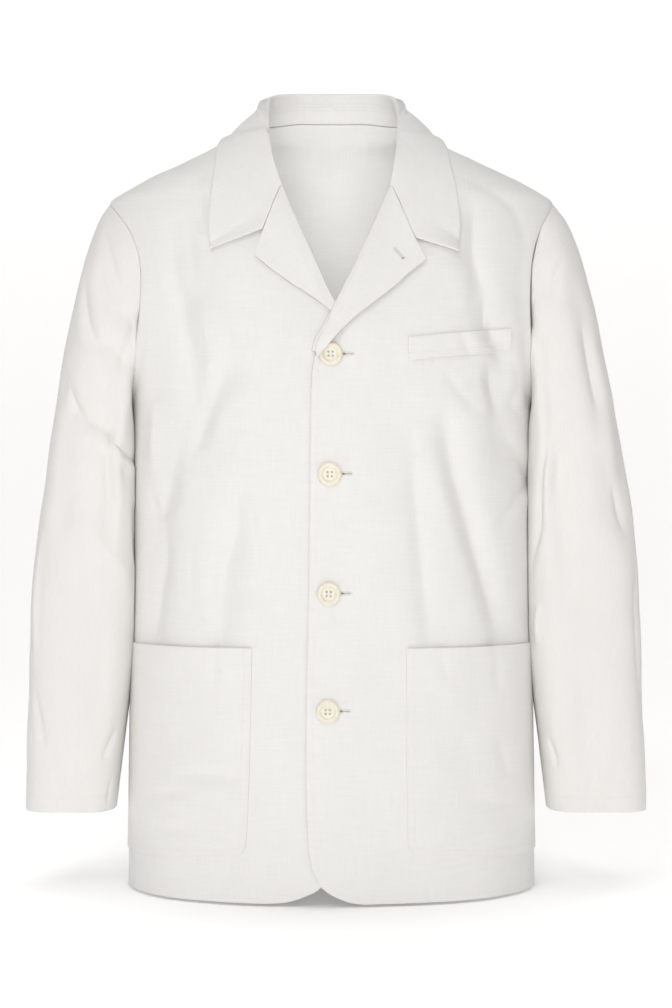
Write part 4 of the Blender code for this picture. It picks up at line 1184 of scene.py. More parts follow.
def placed(name: str, mesh: bpy.types.Mesh, material: bpy.types.Material) -> bpy.types.Object:
    """Links a mesh to the scene as a smooth-shaded object that moves with the part.

    Args:
        name: the object's name.
        mesh: its mesh.
        material: its finish.

    Returns:
        The object.
    """
    mesh.materials.clear()
    mesh.materials.append(material)
    mesh.shade_smooth()
    made = linked(name, mesh)
    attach(made, BODY)
    return made


# The pieces of the blazer


def raised_to_sleeve(points: np.ndarray, reach: float = 0.016, rows: float = 10.0) -> np.ndarray:
    """The lift that brings a panel's last column, over the armpit, level with the sleeve's first ring.

    Args:
        points: the panel's grid.
        reach: how far from the armhole it starts.
        rows: how many rows over the armpit it takes to be full.

    Returns:
        The lift of each point.
    """
    steps = np.linalg.norm(np.diff(points[:, ::-1], axis=1), axis=-1)
    from_armhole = np.concatenate([np.zeros((len(points), 1)), np.cumsum(steps, axis=1)], axis=1)[:, ::-1]
    over_armpit = soft_step(np.arange(len(points)) - ROWS_TO_ARMPIT * FINER_ROWS, 0, rows)
    return (PANEL_WALL + SEAM_GAP) * over_armpit[:, None] * (1 - soft_step(from_armhole, 0, reach))


@dataclass
class FrontPanel:
    """One of the two fronts, from the free edge to the side seam and the armhole."""

    form: FrontForm
    name: str

    def sheet(self) -> ClothSheet:
        """The front as a grid of cloth."""
        points, directions = self.form.surface(*self.form.places())
        points = points + directions * raised_to_sleeve(points)[..., None]
        points = drawn_in(points, directions, (Rim.LAST_COLUMN, Rim.LAST_ROW))
        rims = (Rim.FIRST_COLUMN,)
        return ClothSheet(self.name, points, directions, PANEL_WALL, stitched_rims=rims, threads_level=True)


@dataclass
class BackPanel:
    """The whole back, cut in one piece."""

    name: str = "back"
    finer_columns: int = 8
    arm_reach: float = 0.0700
    shoulder_width: float = 0.2185

    def places(self) -> tuple[np.ndarray, np.ndarray]:
        """Places across and heights of half the back's points."""
        low = [HEM, *FrontForm(LEFT).side_rows]
        low += list(np.linspace(low[-1], MOUTH, POCKET_ROWS + 1)[1:])
        low = finer(low + list(np.linspace(MOUTH, ARMPIT, ROWS_OVER_POCKET + 1)[1:]), FINER_ROWS)
        turns = np.linspace(0, math.pi, UPPER_ROWS * FINER_ROWS + 1)[1:]
        arm_across, arm_height = TORSO.armhole(self.arm_reach, Face.BACK, turns)
        side = np.stack(
            [np.concatenate([TORSO.half_width(low), arm_across]), np.concatenate([low, arm_height])]
        )
        middle_height = np.append(low, np.linspace(ARMPIT, BACK_NECK, UPPER_ROWS * FINER_ROWS + 1)[1:])
        width = float(TORSO.half_width(MOUTH))
        count = NECK_COLUMNS + SHOULDER_COLUMNS
        low_shares = TORSO.even_columns(0.0, width, count * self.finer_columns) / width
        neck = finer(SHARE_OF_NECKLINE[::-1], self.finer_columns) * NECK_WIDTH
        shoulder = np.linspace(NECK_WIDTH, self.shoulder_width, SHOULDER_COLUMNS * self.finer_columns + 1)
        high_shares = np.append(neck, shoulder[1:]) / self.shoulder_width
        edge = np.stack([np.zeros_like(middle_height), middle_height])
        return panel_places(edge, side, low_shares, high_shares, self.top_height)

    def top_height(self, across: np.ndarray) -> np.ndarray:
        """The height of the neckline and of the shoulder seam at a place across."""
        on_neckline = along(NECKLINE, 0, 1, across)
        return np.where(across > NECK_WIDTH, TORSO.shoulder_height(across), on_neckline)

    def sheet(self) -> ClothSheet:
        """The back as a grid of cloth."""
        across, height = self.places()
        x = np.concatenate([-across[:, :0:-1], across], axis=1)
        level = np.concatenate([height[:, :0:-1], height], axis=1)
        base = TORSO.surface(x, level, Face.BACK)
        directions = TORSO.outward(base)
        lift = fold_lift(BACK_FOLDS, x, level) + crease_lift(BACK_CREASES, x, level)
        lift = lift + WORN.waves.height(base) * WORN.wave_depth + WORN.dents.height(base) * WORN.dent_depth
        points = base + directions * lift[..., None]
        raised = raised_to_sleeve(points) + raised_to_sleeve(points[:, ::-1])[:, ::-1]
        points = points + directions * raised[..., None]
        points = drawn_in(points, directions, (Rim.FIRST_COLUMN, Rim.LAST_COLUMN, Rim.LAST_ROW))
        return ClothSheet(self.name, points, directions, PANEL_WALL, threads_level=True)


@dataclass(frozen=True)
class RollLine:
    """The fold at which a lapel and the collar turn over the front."""

    form: FrontForm
    soft_roll: float = 0.0038
    flat_roll: float = 0.0022
    covered_height: tuple = (-0.185, -0.150)
    crest: float = 0.0010
    crest_distance: float = 0.018
    crest_width: float = 0.014
    resting_lift: float = 0.0046
    broken_roll: float = 0.0021
    broken_height: tuple = (BREAK, BREAK + 0.045)
    rest_reached: tuple = (0.010, 0.055)
    overhang: float = 1.15
    short_way: float = 1e-4

    def frame(self, height: np.ndarray) -> tuple[np.ndarray, ...]:
        """Points of the roll line and the directions there.

        Args:
            height: heights along it.

        Returns:
            Places across, the points, the directions out of the cloth, and those off its edge.
        """
        cut = self.form.cut
        across = cut.edge_across(height)
        points, directions = self.form.surface(across, height)
        higher = height + self.short_way
        ahead, _ = self.form.surface(cut.edge_across(higher), higher)
        away = unit(np.cross(ahead - points, directions)) * cut.side.value
        return across, points, directions, away

    def roll(self, height: np.ndarray) -> np.ndarray:
        """How far the turned cloth stands off at its fold, less where the other front covers it."""
        if self.form.cut.side is Side.LEFT:
            return blend(self.broken_roll, self.soft_roll, soft_step(height, *self.broken_height))
        return blend(self.flat_roll, self.soft_roll, soft_step(height, *self.covered_height))

    def turned_lift(self, roll: np.ndarray, distance: np.ndarray) -> np.ndarray:
        """Lift of the turned cloth: it swells a little past its fold, then comes to rest.

        Args:
            roll: its lift at the fold.
            distance: how far from the fold.

        Returns:
            The lift.
        """
        off = (distance - self.crest_distance) / self.crest_width
        swelling = self.crest * np.exp(-(off**2)) * (roll / self.soft_roll)
        resting = np.minimum(self.resting_lift, roll)
        return blend(roll, resting, soft_step(distance, *self.rest_reached)) + swelling

    def fold(self, line: tuple, roll: np.ndarray, angles: Sequence[float]) -> list[np.ndarray]:
        """Columns that carry the cloth round its fold, out past the front's edge and back over it.

        Args:
            line: points of the roll line, directions out of the cloth, and directions off its edge.
            roll: how far the turned cloth stands off.
            angles: places round the fold, in degrees.

        Returns:
            One column of points for each angle.
        """
        points, directions, away = line
        radius = roll[:, None] / 2
        columns = []
        for angle in map(math.radians, angles):
            past_edge = SEAM_GAP + self.overhang * radius * math.cos(angle)
            columns.append(points - away * past_edge + directions * radius * (1 + math.sin(angle)))
        return columns

    def gorge_to(self, tip: tuple) -> tuple[np.ndarray, np.ndarray]:
        """The gorge's end on the roll line, the notch and a tip, with their distances along the edge."""
        corners = np.array([(float(self.form.cut.edge_across(GORGE)), GORGE), self.form.cut.notch, tip])
        return corners, np.append(0, np.cumsum(np.linalg.norm(np.diff(corners, axis=0), axis=1)))


@dataclass
class Lapel:
    """A turned-back lapel, from the break to the gorge seam and the notch."""

    roll_line: RollLine
    name: str
    finer_rows: int = 12
    fold_steps: int = 12
    shares: tuple = (0.0, 0.10, 0.25, 0.45, 0.70, 0.85, 1.0)
    finer_shares: int = 6
    notch_share: float = 0.70
    over_button: float = 0.0028
    over_button_reach: tuple = (0.013, 0.032)

    def clear_of_button(self, across: np.ndarray, height: np.ndarray) -> np.ndarray:
        """Extra lift where the end of the upper lapel lies over the top button."""
        distance = np.hypot(across - BUTTON_PLACES[0][0], height - BUTTON_PLACES[0][1])
        return self.over_button * (1 - soft_step(distance, *self.over_button_reach))

    def sheet(self) -> ClothSheet:
        """The lapel as a grid of cloth, whose topmost row follows the gorge to the notch."""
        cut = self.roll_line.form.cut
        upper = cut.side is Side.LEFT
        height = np.linspace(BREAK, GORGE, (GORGE_ROW - BREAK_ROW) * self.finer_rows + 1)
        shares = np.linspace(0, 1, len(height))
        to_gorge = shares**3
        across, points, directions, away = self.roll_line.frame(height)
        roll = self.roll_line.roll(height)
        if upper:
            roll = roll + self.clear_of_button(across, height)
        angles = np.linspace(-90, 90, self.fold_steps + 1)
        columns = self.roll_line.fold((points, directions, away), roll, angles)
        out_across, out_height = along(cut.lapel, 0, 1, shares), along(cut.lapel, 0, 2, shares)
        corners, lengths = self.roll_line.gorge_to((out_across[-1], out_height[-1]))
        length = np.hypot(out_across - across, out_height - height)
        for share in finer(self.shares, self.finer_shares)[1:]:
            reached = np.interp(share, (0, self.notch_share, 1), lengths)
            bend = [np.interp(reached, lengths, corners[:, axis]) for axis in range(2)]
            x, level = blend(across, out_across, share), blend(height, out_height, share)
            x, level = x + (bend[0] - x[-1]) * to_gorge, level + (bend[1] - level[-1]) * to_gorge
            distance = blend(share * length, reached, to_gorge)
            lift = self.roll_line.turned_lift(roll, distance)
            if upper:
                lift = np.maximum(lift, self.roll_line.resting_lift + self.clear_of_button(x, level))
            columns.append(self.roll_line.form.surface(x, level, lift)[0])
        middle = np.stack(columns, axis=1)
        normals = grid_directions(middle, around=False) * cut.side.value
        normals[:, 0] = -directions
        return ClothSheet(self.name, middle, normals, TURNED_WALL)


COLLAR_ENDS = 4  # one part in this many, at each end, has no stitch rows


@dataclass
class CollarHalf:
    """Half the collar: sections from the gorge to the middle of the back, each up the stand, round the
    crease and down the fall."""

    roll_line: RollLine
    fold_radius: float = 0.0022
    fall_bow: float = 0.0035
    clearance: float = 0.0038
    finer_stations: int = 12
    notch_share: float = 0.60
    end_fade: float = 0.8
    fall_shares: tuple = (0.0, 0.10, 0.25, 0.42, 0.60, 0.80, 1.0)
    fold_shares: tuple = (0, 0.25, 1)
    fold_turns: tuple = (-58.5, -45, 90)  # degrees
    curl_from: float = 0.012
    curl_past: float = 0.003
    clear_from: float = 0.5
    stand_steps: int = 10
    fold_steps: int = 10
    fall_steps: int = 5

    def end_shares(self) -> np.ndarray:
        """Shares of the fall at its columns; one of them is the notch."""
        return finer(self.fall_shares, self.fall_steps)[1:]

    def end_section(self) -> np.ndarray:
        """The section at the gorge, which follows the gorge seam to the notch and the front edge."""
        form = self.roll_line.form
        _, points, directions, away = self.roll_line.frame(np.array([GORGE]))
        up = unit(np.cross(directions, away)) * form.cut.side.value
        stand = np.linspace(-90, self.fold_turns[0], self.stand_steps + 1)
        steps = np.arange(1, self.fold_steps + 1) / self.fold_steps
        round_fold = np.interp(steps, self.fold_shares, self.fold_turns)
        roll = np.array([self.roll_line.soft_roll])
        line = (points + up * SEAM_GAP, directions, away)
        fold = self.roll_line.fold(line, roll, np.append(stand, round_fold))
        return np.concatenate([[column[0] for column in fold], self.end_fall()])

    def end_fall(self) -> np.ndarray:
        """The end's points down the gorge to the notch, then along the front edge to the tip."""
        cut = self.roll_line.form.cut
        corners, lengths = self.roll_line.gorge_to(cut.collar_tip)
        reached = np.interp(self.end_shares(), (0, self.notch_share, 1), lengths)
        place_on = [np.interp(reached, lengths, corners[:, axis]) for axis in range(2)]
        gorge = unit(corners[1] - corners[0])
        across, height = place_on[0] - gorge[1] * SEAM_GAP, place_on[1] + gorge[0] * SEAM_GAP
        lift = self.roll_line.turned_lift(np.array(self.roll_line.soft_roll), reached)
        curled = soft_step(reached, lengths[1] - self.curl_from, lengths[1] + self.curl_past)
        lift = lift + cut.notch_curl * curled
        lift = lift + (cut.tip_curl - cut.notch_curl) * soft_step(reached, lengths[1], lengths[-1])
        return self.roll_line.form.surface(across, height, lift)[0]

    def neck_seam(self) -> tuple[np.ndarray, np.ndarray]:
        """Points of the neck seam from the gorge to the middle of the back, and the directions out."""
        cut = self.roll_line.form.cut
        turns = np.linspace(0, math.pi / 2, (UPPER_ROWS - GORGE_ROW) * self.finer_stations + 1)
        height = blend(GORGE, NECK_POINT, np.sin(turns))
        front, front_out = self.roll_line.form.surface(cut.edge_across(height), height)
        half = finer(SHARE_OF_NECKLINE, self.finer_stations)[1:] * NECK_WIDTH
        back = TORSO.surface(cut.side.value * half, along(NECKLINE, 0, 1, half), Face.BACK)
        return np.concatenate([front, back]), np.concatenate([front_out, TORSO.outward(back)])

    def line_of(self, first: np.ndarray, rows: Sequence) -> np.ndarray:
        """A smooth line from the end section's own point through the table's points."""
        mirror = (self.roll_line.form.cut.side.value, 1, 1)
        corners = np.array([first, *(np.array(row) * mirror for row in rows)])
        knots = np.arange(len(corners), dtype=float)
        at = np.linspace(0, knots[-1], (len(corners) - 1) * self.finer_stations + 1)
        return np.stack([smooth_curve(knots, corners[:, axis], at) for axis in range(3)], axis=-1)

    def section(self, seam: np.ndarray, crease: np.ndarray, edge: np.ndarray) -> np.ndarray:
        """One section of the collar.

        Args:
            seam: its point on the neck seam.
            crease: the top of its fold.
            edge: its outer edge.

        Returns:
            The section's points.
        """
        up = unit(crease - (seam + edge) / 2)
        side = edge - seam
        side = unit(side - up * np.dot(side, up))
        centre = crease - up * self.fold_radius
        angles = np.radians(np.linspace(-90, 90, self.fold_steps + 1))[:, None]
        fold = centre + self.fold_radius * (up * np.cos(angles) + side * np.sin(angles))
        stand = blend(seam, fold[0], np.linspace(0, 1, self.stand_steps + 1)[:-1, None])
        out = unit(np.cross(np.cross(edge - fold[-1], side), edge - fold[-1]))
        out = out * np.sign(np.dot(out, side))
        share = self.end_shares()[:, None]
        fall = blend(fold[-1], edge, share) + out * self.fall_bow * 4 * share * (1 - share)
        return np.concatenate([stand, fold, fall])

    def sections(self) -> tuple[np.ndarray, np.ndarray]:
        """All sections, and the directions out of the cloth at the neck seam."""
        cut = self.roll_line.form.cut
        seam, seam_out = self.neck_seam()
        inward = unit(np.cross(seam_out, np.gradient(seam, axis=0))) * cut.side.value
        seam = seam + inward * SEAM_GAP
        end = self.end_section()
        crease = self.line_of(end[self.stand_steps + self.fold_steps // 2], [row[:3] for row in cut.collar])
        edge = self.line_of(end[-1], [row[3:] for row in cut.collar])
        stations = np.array([self.section(*three) for three in zip(seam, crease, edge)])
        passed = np.arange(len(stations)) / self.finer_stations
        fade = np.clip(1 - passed / self.end_fade, 0, 1) ** 2
        stations = stations + (end - stations[0]) * fade[:, None, None]
        fall = slice(self.stand_steps + self.fold_steps + 1, None)
        clearance = blend(0.0, self.clearance, soft_step(passed[1:], 0, self.clear_from))[:, None, None]
        stations[1:, fall] = TORSO.kept_clear(stations[1:, fall], clearance)
        return stations, seam_out


@dataclass
class Collar:
    """The notched collar, stand and fall in one piece of cloth."""

    left: CollarHalf
    right: CollarHalf
    name: str = "collar"

    def sheet(self) -> ClothSheet:
        """The collar as a grid of cloth, from the right gorge round the back to the left one."""
        right, right_out = self.right.sections()
        left, left_out = self.left.sections()
        middle = np.concatenate([right, left[-2::-1]])
        normals = grid_directions(middle, around=False)
        normals[:, 0] = np.concatenate([right_out, left_out[-2::-1]])
        sheet = ClothSheet(self.name, middle, normals, TURNED_WALL, stitched_rims=(Rim.FIRST_COLUMN,))
        end = len(middle) // COLLAR_ENDS
        sheet.stitched[:end], sheet.stitched[-end:] = FAR, FAR
        return sheet


@dataclass
class Sleeve:
    """A long set-in sleeve: rings that turn from the upright armhole to the level cuff."""

    cut: FrontCut
    name: str
    finer_rings: int = 13
    finer_round: int = 5
    back_reach: float = 0.0700
    per_degree: float = 0.0012
    front_flatness: float = 0.62
    back_flatness: float = 0.85
    beside_body: tuple = (0.5, 0.95)
    clear_of_body: float = 0.0019
    seam_turn: float = 0.35
    folds_from: tuple = (1, 3)
    rings_to_cuff: int = 3
    calm: float = 0.9
    worn_from: tuple = (0.1, 1.5)
    puff: float = 0.0026
    puff_at: float = 2.6
    puff_width: float = 1.3
    puff_power: float = 1.5
    armhole_fade: tuple = (1.0, 0.62, 0.34, 0.14, 0.04)
    rings: tuple = (  # outer x of the left and of the right, its height, inner x, its height, reaches, y
        (0.2185, 0.2185, SHOULDER_TIP, 0.1980, ARMPIT, 0.0720, 0.0700, 0.0000),
        (0.2310, 0.2290, -0.0990, 0.1965, -0.2920, 0.0750, 0.0720, 0.0000),
        (0.2430, 0.2400, -0.1310, 0.1944, -0.3020, 0.0765, 0.0740, 0.0000),
        (0.2525, 0.2485, -0.1640, 0.1932, -0.3160, 0.0770, 0.0745, 0.0000),
        (0.2620, 0.2570, -0.2040, 0.1926, -0.3360, 0.0765, 0.0745, 0.0000),
        (0.2712, 0.2662, -0.2500, 0.1922, -0.3620, 0.0745, 0.0735, -0.0010),
        (0.2810, 0.2742, -0.3000, 0.1920, -0.3920, 0.0710, 0.0710, -0.0020),
        (0.2900, 0.2820, -0.3500, 0.1920, -0.4240, 0.0665, 0.0670, -0.0035),
        (0.2975, 0.2888, -0.4000, 0.1922, -0.4570, 0.0625, 0.0625, -0.0055),
        (0.3023, 0.2948, -0.4500, 0.1930, -0.4900, 0.0595, 0.0590, -0.0080),
        (0.3045, 0.2970, -0.5000, 0.1950, -0.5230, 0.0570, 0.0560, -0.0105),
        (0.3055, 0.2980, -0.5500, 0.1995, -0.5610, 0.0540, 0.0530, -0.0135),
        (0.3065, 0.2990, -0.6000, 0.2046, -0.6020, 0.0505, 0.0495, -0.0160),
        (0.3080, 0.2993, -0.6400, 0.2090, -0.6400, 0.0470, 0.0465, -0.0180),
        (0.3092, 0.2998, -0.6790, 0.2135, -0.6790, 0.0440, 0.0440, -0.0200),
    )

    def armhole_seam(self, turns: np.ndarray) -> np.ndarray:
        """The armhole's edge, level with the body's cloth that is raised beside it.

        Args:
            turns: places round it, 0 at the armpit.

        Returns:
            The points.
        """
        at_front = turns <= math.pi
        sign = self.cut.side.value
        front = TORSO.armhole(self.cut.armhole_depth, Face.FRONT, turns[at_front])
        back = TORSO.armhole(self.back_reach, Face.BACK, 2 * math.pi - turns[~at_front])
        seam = np.concatenate(
            [
                TORSO.surface(sign * front[0], front[1], Face.FRONT),
                TORSO.surface(sign * back[0], back[1], Face.BACK),
            ]
        )
        return seam + TORSO.outward(seam) * (PANEL_WALL + SEAM_GAP)

    def sheet(self) -> ClothSheet:
        """The sleeve as rings of cloth."""
        sign = self.cut.side.value
        turns = np.linspace(0, 2 * math.pi, 2 * UPPER_ROWS * self.finer_round + 1)[:-1]
        knots = np.arange(len(self.rings), dtype=float)
        at = np.linspace(0, knots[-1], (len(knots) - 1) * self.finer_rings + 1)
        table = np.array(self.rings)
        read = np.stack([smooth_curve(knots, table[:, column], at) for column in range(table.shape[1])])
        outer = read[0] if self.cut.side is Side.LEFT else read[1]
        outer_height, inner, inner_height, front, back, middle_y = read[2:]
        top = np.stack([sign * outer, middle_y, outer_height], axis=-1)[:, None]
        bottom = np.stack([sign * inner, middle_y, inner_height], axis=-1)[:, None]
        reach = np.where((turns <= math.pi)[None, :], front[:, None], back[:, None])[..., None]
        flatness = np.where(turns <= math.pi, self.front_flatness, self.back_flatness)
        rise = np.sign(np.cos(turns)) * np.abs(np.cos(turns)) ** flatness
        swell = np.sign(np.sin(turns)) * np.abs(np.sin(turns)) ** flatness
        rings = (top + bottom) / 2 - rise[None, :, None] * (top - bottom) / 2
        rings = rings - reach * swell[None, :, None] * np.array([0, 1, 0])
        fades = np.append(self.armhole_fade, np.zeros(len(knots) - len(self.armhole_fade)))
        kept = smooth_curve(knots, fades, at)[:, None, None]
        middle = rings + kept * (self.armhole_seam(turns) - rings[0])
        normals = -sign * grid_directions(middle, around=True)
        way_round = np.broadcast_to(np.degrees(turns)[None, :] * self.per_degree, middle.shape[:2])
        lift = fold_lift(SLEEVE_FOLDS[self.cut.side], way_round, middle[..., 2])
        last = len(knots)
        free = soft_step(at, *self.folds_from) * (1 - soft_step(at, last - self.rings_to_cuff, last - 1))
        lift = lift * free[:, None]
        worn = WORN.waves.height(middle) * WORN.wave_depth + WORN.dents.height(middle) * WORN.dent_depth
        away_from_body = 1 - self.calm * soft_step(np.cos(turns), *self.beside_body)
        lift = lift + worn * away_from_body * soft_step(at, *self.worn_from)[:, None]
        lift = lift + crease_lift(SLEEVE_CREASES[self.cut.side], way_round, middle[..., 2])
        puff = np.exp(-(((at - self.puff_at) / self.puff_width) ** 2)) * soft_step(at, 0, 1)
        lift = lift + self.puff * puff[:, None] * np.abs(np.sin(turns)) ** self.puff_power
        middle = middle + normals * lift[..., None]
        clear = blend(PANEL_WALL + SEAM_GAP, self.clear_of_body, soft_step(at, 0, 1))
        middle = TORSO.kept_clear(middle, clear[:, None, None])
        normals = -sign * grid_directions(middle, around=True)
        level = TORSO.outward(middle)
        normals = unit(blend(level, normals, soft_step(at, 0, self.seam_turn)[:, None, None]))
        middle = drawn_in(middle, normals, (Rim.FIRST_ROW,))
        return ClothSheet(
            self.name, middle, normals, PANEL_WALL, around=True, stitched_rims=(Rim.LAST_ROW,)
        )


@dataclass
class PatchPocket:
    """A patch pocket with a rounded lower inner corner, sewn on from its inner edge to the side seam."""

    form: FrontForm
    name: str
    corner_rows: float = 0.42
    corner_columns: float = 0.45
    per_row: int = 16
    per_column: int = 8
    gape: float = 0.0016
    gape_height: float = 0.045
    bridging: float = 0.75
    side_held: tuple = (0.9, 1.0)

    def places(self) -> tuple[np.ndarray, np.ndarray]:
        """Places across and heights of the pocket's points."""
        rows = ROWS_TO_POCKET + np.arange(POCKET_ROWS * self.per_row + 1) / self.per_row
        columns = INNER_COLUMNS + np.arange(OUTER_COLUMNS * self.per_column + 1) / self.per_column
        row_grid, column_grid = np.meshgrid(rows, columns, indexing="ij")
        to_row = np.clip(1 - (row_grid - rows[0]) / self.corner_rows, 0, 1)
        to_column = np.clip(1 - (column_grid - columns[0]) / self.corner_columns, 0, 1)
        round_row = to_row * np.sqrt(1 - to_column**2 / 2)
        round_column = to_column * np.sqrt(1 - to_row**2 / 2)
        row_grid = row_grid + (to_row - round_row) * self.corner_rows
        column_grid = column_grid + (to_column - round_column) * self.corner_columns
        across, height = self.form.places()
        at = (row_grid * FINER_ROWS, column_grid * FINER_COLUMNS)
        return between(across, *at), between(height, *at)

    def sheet(self) -> ClothSheet:
        """The pocket as a grid of cloth on the front."""
        across, height = self.places()
        to_mouth = soft_step(height, MOUTH - self.gape_height, MOUTH)
        share = np.clip((across - across[-1, 0]) / (across[-1, -1] - across[-1, 0]), 0, 1)
        gape = self.gape * to_mouth * np.sin(math.pi * share) ** 0.5
        cut = self.form.cut
        hollow = fold_lift(cut.folds, across, height) + crease_lift(cut.creases, across, height)
        bridged = self.bridging * to_mouth * np.maximum(-hollow, 0) * (1 - soft_step(share, *self.side_held))
        points, directions = self.form.surface(across, height, LAID_ON + gape + bridged)
        points = drawn_in(points, directions, (Rim.LAST_COLUMN,))
        rims = (Rim.FIRST_COLUMN, Rim.FIRST_ROW)
        return ClothSheet(
            self.name, points, directions, POCKET_WALL, stitched_rims=rims, threads_level=True
        )


@dataclass
class ChestWelt:
    """The slanted welt of the breast pocket."""

    form: FrontForm
    name: str = "chest_welt"
    inner_bottom: tuple = (0.0720, -0.2454)
    outer_bottom: tuple = (0.1700, -0.2340)
    height: float = 0.0220
    lift: float = 0.0024
    columns: int = 60
    rows: int = 14

    def sheet(self) -> ClothSheet:
        """The welt as a grid of cloth."""
        shares = np.linspace(0, 1, self.columns + 1)
        rises = np.linspace(0, self.height, self.rows + 1)
        across = blend(self.inner_bottom[0], self.outer_bottom[0], shares)[None]
        across = np.repeat(across, self.rows + 1, axis=0)
        level = blend(self.inner_bottom[1], self.outer_bottom[1], shares)[None] + rises[:, None]
        points, directions = self.form.surface(across, level, self.lift * np.ones_like(level))
        return ClothSheet(self.name, points, directions, POCKET_WALL, stitched_rims=(Rim.FIRST_ROW,))


# Buttons, buttonholes and stitches

BUTTON_PLACES = ((-0.0005, -0.2398), (-0.0014, -0.3520), (-0.0023, -0.4641), (-0.0033, -0.5744))
BUTTON_RADIUS = 0.01125
LAPEL_BUTTONHOLE = ((0.0677, -0.1478), (0.0598, -0.1381))  # eyelet, end


def swept_tube(
    path: np.ndarray, radius: float, sides: int = 8, bluntness: int = 8, least: float = 0.05
) -> tuple[np.ndarray, np.ndarray]:
    """A closed tube along a path in the plane of y and z, such as a bar of thread.

    Args:
        path: the path's points.
        radius: the tube's radius.
        sides: how many sides it has.
        bluntness: how late it narrows towards its ends.
        least: the square of its narrowest share of the radius.

    Returns:
        Its points and its four-sided faces.
    """
    ahead = unit(np.gradient(path, axis=0))
    across = np.broadcast_to([1.0, 0.0, 0.0], ahead.shape)
    up = np.cross(ahead, across)
    turns = np.linspace(0, 2 * math.pi, sides, endpoint=False)
    taper = np.sqrt(np.clip(1 - np.linspace(-1, 1, len(path)) ** bluntness, least, 1))[:, None, None] * radius
    ring = across[:, None] * np.cos(turns)[None, :, None] + up[:, None] * np.sin(turns)[None, :, None]
    points = (path[:, None] + taper * ring).reshape(-1, 3)
    index = np.arange(len(points)).reshape(len(path), sides)
    beside = np.roll(index, -1, axis=1)
    quads = np.stack([index[:-1], beside[:-1], beside[1:], index[1:]], axis=-1).reshape(-1, 4)
    caps = []
    for ring in (index[0][::-1], index[-1]):
        for k in range(sides // 2 - 1):
            caps.append([ring[k], ring[k + 1], ring[sides - 2 - k], ring[sides - 1 - k]])
    return points, np.concatenate([quads, caps])


def part_of_line(
    line: np.ndarray, out: np.ndarray, start: float, end: float, count: int = 8
) -> tuple[np.ndarray, np.ndarray]:
    """The part of a line between two lengths along it.

    Args:
        line: the line's points.
        out: the directions at them.
        start: the length at which the part starts.
        end: the length at which it ends.
        count: how many points it gets.

    Returns:
        Its points and directions.
    """
    lengths = np.append(0, np.cumsum(np.linalg.norm(np.diff(line, axis=0), axis=1)))
    at = np.interp(np.linspace(start, end, count), lengths, np.arange(len(line)))
    low = np.clip(at.astype(int), 0, len(line) - 2)
    share = (at - low)[:, None]
    return blend(line[low], line[low + 1], share), unit(blend(out[low], out[low + 1], share))


